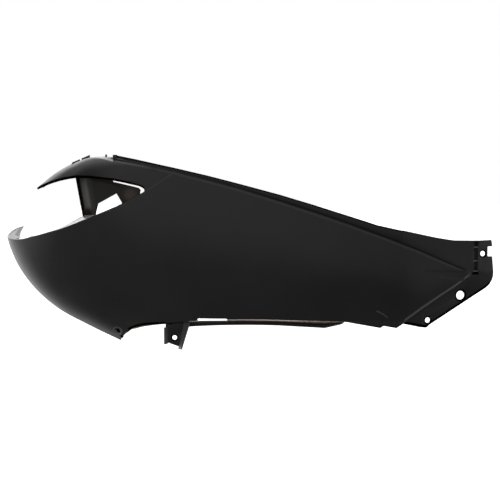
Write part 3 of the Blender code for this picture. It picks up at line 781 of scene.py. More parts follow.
@dataclass
class SkinForm:
    """The face of the panel between its four edges, and the rim that turns in round it.

    The edges are (x, z) and the depths (x, y). A turn is (share up the nose, or x; depth at the silhouette; length
    over which the face comes to its own depth). Crowding draws the grid's lines to the nose and to the top. At the
    front stations, the edges lie step_depth in front of the front flange.
    """

    lengthwise: int = 190
    across: int = 116
    rim_steps: int = 14
    nose_crowding: float = 1.4
    top_crowding: float = 1.15
    crown: float = 14
    crown_fade: float = 5
    flange_turn: float = math.radians(16)
    step_depth: float = 5.5
    front_stations: tuple[float, ...] = (-60, 0, 80)
    rims: RimShapes = field(default_factory=RimShapes)
    bottom_edge: Rows = (
        (-460, -55.5), (-451, -40), (-442, -31.5), (-431, -26.6), (-412, -22), (-390, -18.8), (-346, -14.4),
        (-287, -12.2), (-204, -13.8), (-143, -15.8), (-92, -18), (-60, -18.8),
    )
    front_edge: Rows = (
        (-60, -18.8), (-34, -1.4), (-8, 14.7), (14, 27.6), (29, 37.8), (33.6, 41.2), (36.4, 44.6),
    )
    top_edge: Rows = (
        (-608, 145), (-575, 166), (-546, 187), (-517, 201.5), (-496, 207.5), (-470, 207), (-454, 203),
        (-415, 195), (-375, 185.6), (-330, 174.2), (-287, 162.5), (-232, 145.4), (-176, 127.2), (-139, 114.4),
        (-82, 93.4), (-38, 76.3), (-9, 63.5), (20, 51.2), (36.4, 44.6),
    )
    nose_edge: Rows = (
        (-460, -55.5), (-507, -32.4), (-550, -8.4), (-590, 29), (-612, 65), (-622.5, 108), (-608, 145),
    )
    bottom_depth: Rows = (
        (-630, -22), (-460, -27), (-346, -31), (-287, -33), (-204, -33), (-143, -31), (-92, -27),
    )
    top_depth: Rows = (
        (-630, -33), (-460, -37), (-346, -40), (-287, -41), (-204, -39.5), (-143, -35), (-92, -28.5),
    )
    nose_turn: Rows = ((0, 40, 150), (0.12, 42, 180), (0.3, 42, 200), (0.7, 42, 220), (1, 42, 200))
    top_turn: Rows = (
        (-608, 42, 200), (-575, 35, 150), (-546, 26, 110), (-517, 15, 80), (-496, 2, 60), (-470, -12, 45),
        (-454, -24, 38), (-415, -34, 34), (-375, -46, 30),
    )

    def __post_init__(self) -> None:
        """Work out the face once, as every other piece reads it."""
        self.plan, self.along, self.up = self._plan()
        self.face = self._face()

    def flange_depth(self, x: Array) -> Array:
        """Give the depth of the front flange, which is flat and turned in towards the front."""
        return math.tan(self.flange_turn) * np.asarray(x, float)

    def _plan(self) -> tuple[Array, Array, Array]:
        """Work out the face's grid in front view.

        It is the blend of the four edges: the two lengthwise ones, plus the two upright ones, less the corners.

        Returns:
            The grid's (x, z), and the shares of its lines along and up the face.
        """
        along = np.linspace(0, 1, self.lengthwise + 1) ** self.nose_crowding
        up = 1 - (1 - np.linspace(0, 1, self.across + 1)) ** self.top_crowding
        bottom, top = smooth_curve(self.bottom_edge, along), smooth_curve(self.top_edge, along)
        nose, front = smooth_curve(self.nose_edge, up), smooth_curve(self.front_edge, up)
        u, v = along[:, None, None], up[None, :, None]
        lengthwise = (1 - u) * nose[None] + u * front[None]
        upward = (1 - v) * bottom[:, None] + v * top[:, None]
        corners = (1 - u) * ((1 - v) * nose[0] + v * nose[-1]) + u * ((1 - v) * front[0] + v * front[-1])
        return lengthwise + upward - corners, along, up

    def _edge_depth(self, table: Rows, x: Array) -> Array:
        """Give the depth of the face along one edge, which ends parallel to the front flange."""
        ends = tuple((at, float(self.flange_depth(at)) - self.step_depth) for at in self.front_stations)
        return eased(table + ends, x)[0]

    @staticmethod
    def _turned(distance: Array, length: Array) -> Array:
        """Give how far the face has turned back: 1 at the silhouette, down a quarter ellipse to 0 at the length."""
        near = 1 - np.clip(distance / length, 0, 1)
        return 1 - np.sqrt(1 - near**2)

    def _face(self) -> Array:
        """Work out the face's points: edge depths, blended upwards, with a crown, turned back at nose and top.

        Returns:
            The grid's points.
        """
        x, up = self.plan[..., 0], self.up
        bottom, top = self._edge_depth(self.bottom_depth, x), self._edge_depth(self.top_depth, x)
        crown = self.crown * 4 * up * (1 - up) * (1 - self.along[:, None] ** self.crown_fade)
        depth = bottom * (1 - up) + top * up - crown
        steps = np.linalg.norm(np.diff(self.plan, axis=0), axis=-1)
        from_nose = np.vstack([np.zeros((1, self.across + 1)), np.cumsum(steps, axis=0)])
        steps = np.linalg.norm(np.diff(self.plan, axis=1), axis=-1)[:, ::-1]
        from_top = np.hstack([np.zeros((self.lengthwise + 1, 1)), np.cumsum(steps, axis=1)])[:, ::-1]
        nose_depth, nose_length = eased(self.nose_turn, up)
        top_depth, top_length = eased(self.top_turn, x[:, -1])
        nose, over = self._turned(from_nose, nose_length), self._turned(from_top, top_length[:, None])
        round_nose = np.maximum(nose_depth - depth, 0) * nose * (1 - over)
        depth = depth + round_nose + np.maximum(top_depth[:, None] - depth, 0) * over
        return np.stack([x, depth, self.plan[..., 1]], axis=-1)

    def edge(self, side: Side) -> tuple[Array, Array]:
        """Give the face's points along one edge, towards the front, and the outward directions there.

        Args:
            side: Which edge.

        Returns:
            The points and the directions, a row of each per point.
        """
        points = self.face[:, 0 if side is Side.BOTTOM else -1]
        tangent = np.gradient(points, axis=0) * (1 if side is Side.BOTTOM else -1)
        return points, outward(tangent)

    def depth_at(self, plan: Array) -> Array:
        """Give the face's depth at places in front view, from the nearest grid point and the slopes there.

        Args:
            plan: Places, as rows of x and z.

        Returns:
            One depth per place.
        """
        flat = self.face.reshape(-1, 3)
        slope_u = np.gradient(self.face, axis=0).reshape(-1, 3)
        slope_v = np.gradient(self.face, axis=1).reshape(-1, 3)
        nearest = np.argmin(((plan[:, None] - flat[None, :, [0, 2]]) ** 2).sum(axis=-1), axis=1)
        offset = plan - flat[nearest][:, [0, 2]]
        a, b = slope_u[nearest], slope_v[nearest]
        scale = a[:, 0] * b[:, 2] - a[:, 2] * b[:, 0]
        s = (offset[:, 0] * b[:, 2] - offset[:, 1] * b[:, 0]) / scale
        t = (a[:, 0] * offset[:, 1] - a[:, 2] * offset[:, 0]) / scale
        return flat[nearest, 1] + s * a[:, 1] + t * b[:, 1]

    def _rim_profiles(self, loop: Array) -> Array:
        """Blend the rim's shapes round the face, at each point of its loop.

        Args:
            loop: The grid's points round the face.

        Returns:
            The steps of the rim at each of them.
        """
        rims = self.rims
        rows = {
            "bottom": ((-460, rims.toe), (-448, rims.plain), (-436, rims.flare), (-390, rims.flare),
                       (-377, rims.shelf), (-230, rims.shelf), (-168, rims.hem), (-144.5, rims.wedge),
                       (-142.5, rims.step), (-60, rims.step)),
            "top": ((-608, rims.nose), (-575, rims.lip), (-474, rims.lip), (-460, rims.step), (36, rims.step)),
            "nose": ((0, rims.toe), (0.12, rims.nose), (0.5, rims.nose), (0.71, rims.brow), (0.82, rims.nose),
                     (1, rims.nose)),
        }
        long, high = self.lengthwise, self.across
        x = self.face.reshape(-1, 3)[loop, 0]
        parts = [
            self._blend(rows["bottom"], x[:long]),
            np.tile(np.ravel(rims.step), (high, 1)),
            self._blend(rows["top"], x[long + high : 2 * long + high]),
            self._blend(rows["nose"], np.linspace(1, 0, high + 1)[:-1]),
        ]
        return np.concatenate(parts).reshape(-1, len(rims.plain), 2)

    @staticmethod
    def _blend(rows: tuple[tuple[float, Rows], ...], at: Array) -> Array:
        """Blend rim shapes between the places where they stand, as one flat row of steps per place wanted.

        Args:
            rows: Places and their shapes.
            at: The places wanted.

        Returns:
            One row per place wanted.
        """
        values = np.array([np.ravel(shape) for _, shape in rows])
        places = [place for place, _ in rows]
        return np.stack([np.interp(at, places, column) for column in values.T], axis=-1)

    def _loop(self) -> Array:
        """List the grid's points round the face: bottom, front, top, nose.

        Returns:
            Their numbers in the grid.
        """
        rows, columns = self.lengthwise + 1, self.across + 1
        index = np.arange(rows * columns).reshape(rows, columns)
        return np.concatenate([index[:-1, 0], index[-1, :-1], index[:0:-1, -1], index[0, :0:-1]])

    def rings(self) -> Array:
        """Work out the rim's rings of points.

        They are the face's edge moved outwards in front view and inwards in depth, by steps that are blended
        round the face and smoothed along their own curve.

        Returns:
            The points of each ring, from the face inwards.
        """
        loop = self._loop()
        edge = self.face.reshape(-1, 3)[loop]
        tangent = np.roll(edge, -1, axis=0) - np.roll(edge, 1, axis=0)
        count = len(self.rims.plain)
        weights = spline_weights(count, np.linspace(0, count - 1, self.rim_steps + 1)[1:])
        profiles = np.einsum("ks,nsc->knc", weights, self._rim_profiles(loop))
        return edge + outward(tangent) * profiles[..., :1] + np.array([0, 1, 0]) * profiles[..., 1:]

    def nose_rings(self) -> Array:
        """Give the rim's rings along the nose, each from its bottom to its top."""
        rings = self.rings()
        return np.concatenate([rings[:, -self.across :], rings[:, :1]], axis=1)[:, ::-1]

    def sheet(self) -> tuple[Array, Array]:
        """Join the face and its rim into one sheet.

        Returns:
            Points and quads.
        """
        rows, columns = self.lengthwise + 1, self.across + 1
        loop, rings = self._loop(), self.rings()
        points = self.face.reshape(-1, 3)
        numbers = np.vstack([loop, len(points) + np.arange(rings.shape[0] * len(loop)).reshape(-1, len(loop))])
        quads = grid_quads(rows, columns)
        bands = np.stack(
            [numbers[:-1], numbers[1:], np.roll(numbers[1:], -1, axis=1), np.roll(numbers[:-1], -1, axis=1)], axis=-1
        )
        return np.vstack([points, rings.reshape(-1, 3)]), np.vstack([quads, bands.reshape(-1, 4)])


@dataclass
class MouthOutline:
    """The lamp mouth in front view, as (x, z), and the rise of its lower edge per unit of depth at the nose.

    The lower edge has the heights that are given at the depth that is named level.
    """

    top: Rows = (
        (-575, 164.2), (-551, 172.8), (-531, 177.8), (-511, 180.6), (-491, 180), (-458, 176.5), (-436, 172),
        (-419, 167), (-414.5, 163.5),
    )
    bottom: Rows = (
        (-417, 160), (-425, 156), (-446, 144.5), (-468, 135), (-485, 128), (-511, 117.5), (-528, 111),
        (-546, 105.5), (-565, 100.5), (-582, 97), (-599, 93.5), (-617, 90.5),
    )
    side: Rows = ((-660, 90.5), (-660, 230))
    rise: Rows = ((-617, 0.25), (-599, 0.15), (-582, 0.05), (-565, 0))
    samples: int = 160
    level: float = 20

    def outline(self) -> Array:
        """Give the closed outline, with its long runs as smooth curves."""
        shares = np.linspace(0, 1, self.samples)
        return np.vstack([smooth_curve(self.top, shares), smooth_curve(self.bottom, shares), self.side])

    def holds(self, points: Array) -> Array:
        """Tell which points lie in the mouth, whose lower edge rises with depth at the nose.

        Args:
            points: Points in space.

        Returns:
            One flag per point.
        """
        rise = between(self.rise, points[:, 0])
        plan = np.stack([points[:, 0], points[:, 2] - rise * (points[:, 1] - self.level)], axis=1)
        return inside_outline(plan, self.outline())

    def lower_edge(self, x: Array, y: Array) -> Array:
        """Give the height of the mouth's lower edge at a place and a depth."""
        return between(self.bottom[::-1], x) + between(self.rise, x) * (y - self.level)

    def path(self, count: int) -> tuple[Array, Array]:
        """Give a path round the mouth's closed end, from the lower nose side, and its outward directions.

        Args:
            count: Number of points wanted.

        Returns:
            Rows of (x, z), and the directions there.
        """
        knots = np.array(self.bottom[-3::-1] + self.top[:1:-1], float)
        points = smooth_curve(knots, np.linspace(0, 1, count))
        tangent = np.gradient(points, axis=0)
        return points, unit(np.stack([tangent[:, 1], -tangent[:, 0]], axis=1))


@dataclass
class NoseLedge:
    """The ledge that turns in from the mouth's lower edge round the nose, tapering out at the back.

    It ends at reach, and is looked for on the face up to face_reach.
    """

    form: SkinForm
    mouth: MouthOutline
    widths: Rows = ((0, 0.6), (0.2, 4), (0.45, 9), (0.7, 11.5), (1, 12.5))
    outer_wall: float = 2.2
    inner_wall: float = 0.35
    lift: float = 0.02
    reach: float = -566
    face_reach: float = -456
    overlap: float = 0.4
    samples: int = 120
    knots: int = 24
    round: float = 0.15

    def _edge(self) -> Array:
        """Find where the mouth's lower edge crosses the skin, from the back of the nose to its front.

        Each rim ring, and each upright line of the face behind it, is followed upwards to the place where its
        height passes that of the mouth's edge at its own depth, between two neighbouring points.

        Returns:
            The crossing's points.
        """
        rings, face = self.form.nose_rings(), self.form.face
        lines = np.concatenate([rings[::-1], face[face[:, 0, 0] < self.face_reach]])
        height = lines[..., 2] - self.mouth.lower_edge(lines[..., 0], lines[..., 1])
        passed = (height[:, :-1] < 0) & (height[:, 1:] >= 0)
        lines, height, passed = lines[passed.any(axis=1)], height[passed.any(axis=1)], passed[passed.any(axis=1)]
        at = np.argmax(passed, axis=1)
        row = np.arange(len(lines))
        below, above = height[row, at], height[row, at + 1]
        share = (below / (below - above))[:, None]
        return lines[row, at] * (1 - share) + lines[row, at + 1] * share

    def corners(self) -> Array:
        """Give the ledge's stations: its outer and inner edges, level with the mouth's cut, and those below.

        Returns:
            Four corners per station.
        """
        edge = self._edge()
        edge = edge[: np.argmax(np.append(edge[:, 0], math.inf) > self.reach)]
        path = smooth_curve(edge[:, [0, 1]][:: max(1, len(edge) // self.knots)], np.linspace(0, 1, self.samples))
        tangent = np.gradient(path, axis=0)
        inward = unit(np.stack([-tangent[:, 1], tangent[:, 0]], axis=1))
        width = between(self.widths, np.linspace(0, 1, self.samples))
        outer, inner = path + inward * self.overlap, path + inward * (self.overlap + width[:, None])
        rows = []
        for plan, down in ((outer, 0), (inner, 0), (inner, self.inner_wall), (outer, self.outer_wall)):
            z = self.mouth.lower_edge(plan[:, 0], plan[:, 1]) + self.lift - down
            rows.append(np.column_stack([plan, z]))
        return np.stack(rows, axis=1)

    def build(self) -> bpy.types.Object:
        """Build the ledge as a bar."""
        points, quads, _ = Bar(self.round).swept(self.corners())
        # The ledge's light grey is a painted reflection
        return placed("nose_ledge", points, quads, finish=LEDGE_PAINTED_REFLECTION)


@dataclass
class ToePocket:
    """The small pocket at the toe: a cup behind a hole in the skin, with the hole's outline as (x, z)."""

    outline: Rows = ((-462, -33), (-458, -33.5), (-456.5, -39), (-458.5, -43.5), (-462.5, -43), (-465, -38))
    depths: Span = (24, 46)
    wall: float = 2
    round: float = 1 / 3

    def build(self) -> bpy.types.Object:
        """Build the cup.

        Returns:
            The piece.
        """
        plan = np.array(self.outline, float)
        outer = plan + unit(plan - plan.mean(axis=0)) * self.wall
        near, far = self.depths
        cup = plate_mesh("cup", outer, level(near), level(far))
        hollow = plate_mesh("hollow", plan, level(near - self.wall), level(far - self.wall))
        return handed(bevelled(cup, [hollow], self.round), "toe_pocket", INNER_BLACK_WITH_PAINTED_LIGHT_AND_SHADE)


@dataclass
class Skin:
    """The panel's outer shell: the face and rim, cut for the mouth, the shelf's slot and the toe's pocket.

    Its cut edges carry a painted highlight, which turns to painted shade above shadow_from and is faint below
    low_cuts and in front of a given x. A painted reflection lightens the inner side of the nose, in a part given as x
    to, z from and z to. The line along its top crease starts at crease_from.
    """

    form: SkinForm
    mouth: MouthOutline
    pocket: ToePocket
    wall: Wall = field(default_factory=Wall)
    slot_x: Span = (-346, -304)
    slot_y: Span = (-40, -8)
    slot_top: float = -13.8
    crease_from: float = -454
    shadow_from: float = 144
    low_cuts: float = 80
    # The x in front of which cut edges get a faint painted highlight, and that painted highlight's share
    highlight_from: float = -560
    edge_highlight: float = 0.2
    # The part of the nose's inner side that gets a painted reflection, as x to, z from and z to
    nose_reflection: Place = (-590, 88, 120)

    def _in_slot(self, points: Array) -> Array:
        """Tell which points lie in the slot of the lower shelf.

        Args:
            points: Points in space.

        Returns:
            One flag per point.
        """
        x, y, z = points.T
        return (
            (x > self.slot_x[0]) & (x < self.slot_x[1]) & (y > self.slot_y[0]) & (y < self.slot_y[1])
            & (z < self.slot_top)
        )

    def traces(self) -> tuple[Trace, ...]:
        """Give the lines painted on the shell: highlights along creases, shade along edges and under the catches,
        reflection bands and a scuff, in the order they are laid.

        Returns:
            The lines.
        """
        top = tuple(row for row in self.form.top_edge if row[0] >= self.crease_from)
        front = self.form.front_edge
        toe = (
            (-445.6, -32.5), (-439.4, -29.1), (-431, -25.5), (-421.3, -23.2), (-411.6, -21.8), (-400.5, -21.1),
            (-389.4, -20.7),
        )
        return (
            # Painted highlight along the top crease, and painted shade above it
            Trace(top, 1.9, (0.044, 0.044, 0.043), 0.5, lift=-0.4),
            Trace(top, 2.3, (0.003, 0.003, 0.003), 0.1, lift=3.6),
            # Painted highlight along the front crease, and painted shade outside it
            Trace(front, 2.6, (0.13, 0.13, 0.128), 0.5, lift=0.2),
            Trace(front, 2.2, (0.003, 0.003, 0.003), 0.1, lift=-3.6),
            # Painted highlight along the crease that rises from the mouth's corner
            Trace(((-412.5, 162.6), (-401.7, 170), (-388.1, 178.9), (-374.5, 187.6)), 1.6, (0.045, 0.045, 0.045), 0.5),
            Trace(((-99.1, -3.4), (-94.3, -5.2), (-88.8, -8.6), (-82.5, -13.5)), 1.5, (0.1, 0.1, 0.1), 0.5),
            # Painted reflection: a dark streak across the front of the face, and a lighter band below it
            Trace(((-31, 50.7), (2.4, 49.3), (34.4, 47.2)), 3, (0.011, 0.011, 0.011), 0.45, core=0),
            Trace(((-8.6, 41.7), (8.1, 38.9), (29, 36.1)), 4, (0.03, 0.03, 0.03), 0.5, core=0),
            # Painted shade along the lower edge next to the toe and at its notch, and a painted highlight round the
            # toe's pocket
            Trace(toe, 3.3, lift=-2.1),
            Trace(((-455, -46.9),), 4.5),
            Trace(((-461, -37.6),), 1.1, (0.13, 0.13, 0.127), 0.5, radius=6.2),
            # Painted highlight along the crest of the top edge
            Trace(((-496.1, 209), (-483.6, 208.1), (-472.6, 205.9), (-460.1, 202.6)), 1.6, (0.5, 0.5, 0.5), 0.5),
            # Painted shadows of the two catches on the lip's crest
            Trace(((-523.2, 199.4), (-516.8, 203.2), (-510.7, 205.6)), 2.6, lift=-1.4),
            Trace(((-508.3, 206.4), (-503.3, 208.4), (-496.3, 209.9)), 2.6, lift=-1.4),
            # Painted shade at the lip's tip, and a painted shadow along the lip's lower edge
            Trace(((-571.6, 165.5),), 4),
            Trace(((-608, 148), (-590, 156.5), *self.mouth.top), 2.2, lift=1),
        )

    def build(self) -> bpy.types.Object:
        """Build the shell.

        Returns:
            The piece.
        """
        points, quads = self.form.sheet()
        for gone in (self.mouth.holds, self._in_slot, within(self.pocket.outline)):
            points, quads = trimmed(points, quads, gone)
        count = len(points)
        points, quads, marks = self.wall.closed(points, quads)
        x, _, z = points.T
        cut, inner = marks > 0, np.arange(len(points)) >= count
        # Painted shade on high cut edges, a faint painted highlight on low and front ones, a painted reflection inside
        # the nose
        marks[cut & (z > self.shadow_from)] = -1
        marks[cut & ((z < self.low_cuts) | ((x > self.highlight_from) & (z < self.shadow_from)))] = self.edge_highlight
        left, low, high = self.nose_reflection
        marks[inner & (x < left) & (z > low) & (z < high)] = 1
        return placed("skin", points, quads, marks, MouldedBlack("skin_black_painted_light_and_shade", traces=self.traces()))


# The lamp mouth's wall and plate


@dataclass
class LampPlate:
    """The plate behind the mouth, folded back at its free edge, with a slit along its top and a window.

    Its free edge, its fold and its end are given as the x at the top, the x at the bottom and the depth.
    """

    mouth: MouthOutline
    free: Place = (-518.2, -507.2, 14)
    fold: Place = (-497, -488, -9)
    end: Place = (-415, -415, -19.5)
    wall: Wall = field(default_factory=lambda: Wall(2.4, 0.5))
    overlap: float = 1.8
    fold_round: float = 11
    fold_samples: int = 9
    slit: Rows = (
        (-463, 174.5), (-461.5, 173), (-458, 172.5), (-434, 167), (-426.5, 165), (-424.3, 162.4), (-425.3, 158.5),
        (-424, 154.5), (-404, 149), (-404, 190), (-462, 190),
    )
    window: Rows = ((-484, 144), (-457.5, 158.5), (-449.5, 145), (-452, 132), (-490, 116), (-488.5, 130))
    # Painted shade on the post, as (depth, mark) rows: the further back, the darker
    post_shade: Rows = ((-9, 0), (-6, -0.55), (6, -0.8), (9, -1))
    columns: int = 120
    rows: int = 80

    def lines(self) -> Array:
        """Give the x at the top, the x at the bottom and the depth of its three upright lines, a row of each."""
        return np.array([self.free, self.fold, self.end], float).T

    def depth(self, x: Array) -> Array:
        """Give the depth of the plate's front at x, measured half way up: two slopes with a round between them.

        Args:
            x: Places along the plate.

        Returns:
            One depth per place.
        """
        top, low, depths = self.lines()
        spread = np.linspace(-1, 1, self.fold_samples) * self.fold_round / 2
        return np.mean([np.interp(x + s, (top + low) / 2, depths) for s in spread], axis=0)

    def _sheet(self) -> tuple[Array, Array]:
        """Work out the plate's front: a ruled grid between its top and its bottom edge.

        Returns:
            Points and quads.
        """
        top, bottom, _ = self.lines()
        half = (top + bottom) / 2
        middle = np.linspace(half[0], half[-1], self.columns)
        x_top, x_low = np.interp(middle, half, top), np.interp(middle, half, bottom)
        high = between(self.mouth.top, x_top) + self.overlap
        low = between(self.mouth.bottom[::-1], x_low) - self.overlap
        share = np.linspace(0, 1, self.rows)
        x = x_low[:, None] * (1 - share) + x_top[:, None] * share
        z = low[:, None] * (1 - share) + high[:, None] * share
        y = np.broadcast_to(self.depth(middle)[:, None], x.shape)
        return np.stack([x, y, z], axis=-1).reshape(-1, 3), grid_quads(self.columns, self.rows)

    def build(self) -> bpy.types.Object:
        """Build the plate.

        Returns:
            The piece.
        """
        points, quads = self._sheet()
        for outline in (self.slit, self.window):
            points, quads = trimmed(points, quads, within(outline))
        points, quads, marks = self.wall.closed(points, quads)
        # Painted shade on the post, left of the fold; cut edges keep their own marks
        post = between(self.post_shade, points[:, 1]) * (points[:, 0] < self.fold[1])
        return placed("lamp_plate", points, quads, np.where(marks > 0, marks, post), INNER_BLACK_WITH_PAINTED_LIGHT_AND_SHADE)


@dataclass
class Sill:
    """The sloping sill that rises from the mouth's lower edge to the foot of the lamp plate.

    It rises and reaches in by tables over x. From its foot on, it stops where the plate stands.
    """

    form: SkinForm
    mouth: MouthOutline
    plate: LampPlate
    ends: Span = (-564, -489)
    rise: Rows = ((-564, 0.4), (-540, 1.6), (-526, 4), (-512, 7), (-503, 6.4), (-489, 2))
    start: float = 1.2
    reach: Rows = ((-564, 9), (-530, 22), (-512, 40), (-489, 30))
    walls: Span = (1.6, 0.5)
    drop: float = 0.1
    foot: float = 4
    seat: float = 0.5
    free_depth: float = 90
    samples: int = 60
    round: float = 0.15

    def build(self) -> bpy.types.Object:
        """Build the sill as a bar between the skin's cut edge and the plate.

        Returns:
            The piece.
        """
        x = np.linspace(*self.ends, self.samples)
        z = between(self.mouth.bottom[::-1], x)
        near = self.form.depth_at(np.column_stack([x, z])) + self.start
        at_plate = x > self.plate.free[1] - self.foot
        limit = np.where(at_plate, self.plate.depth(x) + self.seat, self.free_depth)
        far = np.minimum(near + between(self.reach, x), limit)
        top = z + between(self.rise, x)
        front, back = self.walls
        corners = stations((x, near, z - self.drop), (x, far, top), (x, far, top - back), (x, near, z - front))
        points, quads, _ = Bar(self.round).swept(corners)
        # The sill's near white is a painted reflection
        return placed("sill", points, quads, finish=SILL_PAINTED_REFLECTION)


@dataclass
class LipWall:
    """The wall that runs in from the mouth's edge, and beyond the lamp plate where that stands.

    The deepening is the share over x by which it follows the plate.
    """

    form: SkinForm
    mouth: MouthOutline
    plate: LampPlate
    gap: float = 0.15
    thickness: float = 2.2
    start: float = 1.3
    depth: float = 13
    beyond: float = 0.3
    deepening: Rows = ((-530, 0), (-508, 1))
    samples: int = 260

    def build(self) -> bpy.types.Object:
        """Build the wall as a bar along the mouth's closed end.

        Returns:
            The piece.
        """
        path, away = self.mouth.path(self.samples)
        inner, outer = path + away * self.gap, path + away * (self.gap + self.thickness)
        near_in, near_out = self.form.depth_at(inner) + self.start, self.form.depth_at(outer) + self.start
        share = between(self.deepening, path[:, 0])
        behind = self.plate.depth(path[:, 0]) + self.plate.wall.thickness + self.beyond
        far = (1 - share) * (near_in + self.depth) + share * np.maximum(behind, near_in + self.depth)
        (x_in, z_in), (x_out, z_out) = inner.T, outer.T
        corners = stations((x_in, near_in, z_in), (x_in, far, z_in), (x_out, far, z_out), (x_out, near_out, z_out))
        return placed("lip_wall", *Bar().swept(corners))


# Flanges


@dataclass
class EdgeStrip:
    """A flange that runs behind one edge of the face, out to an outline in front view given as (x, z)."""

    name: str
    form: SkinForm
    side: Side
    outline: Rows
    overlap: float = 2
    gap: float = 5.65
    wall: float = 2.4
    round: float = 1.1
    pitch: float = 2.5

    def build(self) -> bpy.types.Object:
        """Build the strip as a bar whose section reaches from behind the rim to the outline.

        Returns:
            The piece.
        """
        at = np.array(self.outline, float)[:, 0]
        edge, away = self.form.edge(self.side)
        inner = edge + away * self.overlap
        x = np.union1d(np.arange(at[0], at[-1], self.pitch), at)
        z_in, z_out = np.interp(x, inner[:, 0], inner[:, 2]), between(self.outline, x)
        y = np.interp(x, edge[:, 0], edge[:, 1]) + self.gap
        low, high = (z_out, z_in) if self.side is Side.BOTTOM else (z_in, z_out)
        back = y + self.wall
        corners = stations((x, y, low), (x, y, high), (x, back, high), (x, back, low))
        return placed(self.name, *Bar(self.round).swept(corners))


def prism(name: str, front: Array, back: Array) -> bpy.types.Mesh:
    """Make a closed mesh of two rings of points in millimetres, with its faces outwards.

    Args:
        name: The mesh's name.
        front: The front's points.
        back: The back's.

    Returns:
        The mesh.
    """
    ring, count = np.arange(len(front)), len(front)
    after = np.roll(ring, -1)
    sides = np.stack([ring, ring + count, after + count, after], axis=1)
    mesh = bpy.data.meshes.new(name)
    points = (np.vstack([front, back]) * MM).tolist()
    mesh.from_pydata(points, [], [ring.tolist(), (ring[::-1] + count).tolist(), *sides.tolist()])
    mesh.validate()
    return mesh


def plate_mesh(
    name: str, outline: Sequence[Sequence[float]], near: Callable[[Array], Array], far: Callable[[Array], Array]
) -> bpy.types.Mesh:
    """Make a plate of an outline in front view between two depths.

    Args:
        name: The mesh's name.
        outline: Its corners, as (x, z).
        near: Gives the front's depth for an array of x.
        far: Gives the back's depth.

    Returns:
        The closed mesh, with its faces outwards.
    """
    x, z = np.array(outline, float).T
    if np.sum(x * np.roll(z, -1) - np.roll(x, -1) * z) < 0:
        x, z = x[::-1], z[::-1]
    return prism(name, np.stack([x, near(x), z], axis=1), np.stack([x, far(x), z], axis=1))


def drill_mesh(x: float, z: float, diameter: float, turn: float, reach: float = 9, sides: int = 64) -> bpy.types.Mesh:
    """Make a drill square to a plane that passes through the origin, turned about the upright axis.

    Args:
        x: Where its axis meets the plane, along X.
        z: The same, along Z.
        diameter: Its diameter, in millimetres.
        turn: The plane's turn, in radians.
        reach: How far it stands out on each side.
        sides: Number of its sides.

    Returns:
        The closed mesh, with its faces outwards.
    """
    angle = np.linspace(0, 2 * math.pi, sides, endpoint=False)
    across, up = diameter / 2 * np.cos(angle), z + diameter / 2 * np.sin(angle)
    cos, sin = math.cos(turn), math.sin(turn)
    rings = [
        np.stack([x + across * cos - depth * sin, math.tan(turn) * x + across * sin + depth * cos, up], axis=1)
        for depth in (-reach, reach)
    ]
    return prism("drill", *rings)


def level(depth: float) -> Callable[[Array], Array]:
    """Give a depth that is the same at every x."""
    return lambda x: np.full(len(x), float(depth))


def bevelled(mesh: bpy.types.Mesh, tools: Sequence[bpy.types.Mesh], width: float) -> bpy.types.Mesh:
    """Cut tools out of a mesh and round its edges, whose points get the mark 1 where all their faces are small.

    Args:
        mesh: The mesh, in metres.
        tools: Meshes to cut away.
        width: Width of the edge's round, in millimetres.

    Returns:
        The finished mesh.
    """
    obj = linked("work", mesh)
    cutters = [linked("tool", tool) for tool in tools]
    for cutter in cutters:
        cut = obj.modifiers.new("cut", "BOOLEAN")
        cut.operation, cut.solver, cut.object = "DIFFERENCE", "EXACT", cutter
    bevel = obj.modifiers.new("bevel", "BEVEL")
    bevel.width, bevel.segments = width * MM, BEVEL_STEPS
    bevel.limit_method, bevel.angle_limit = "ANGLE", math.radians(BEVEL_ANGLE)
    result = bpy.data.meshes.new_from_object(obj.evaluated_get(bpy.context.evaluated_depsgraph_get()))
    for used in [obj, *cutters]:
        bpy.data.objects.remove(used, do_unlink=True)
    small = (3 * width * MM) ** 2
    marks = np.ones(len(result.vertices))
    for polygon in result.polygons:
        if len(polygon.vertices) > 4 or polygon.area > small:
            marks[list(polygon.vertices)] = 0
    marked(result, marks)
    return result


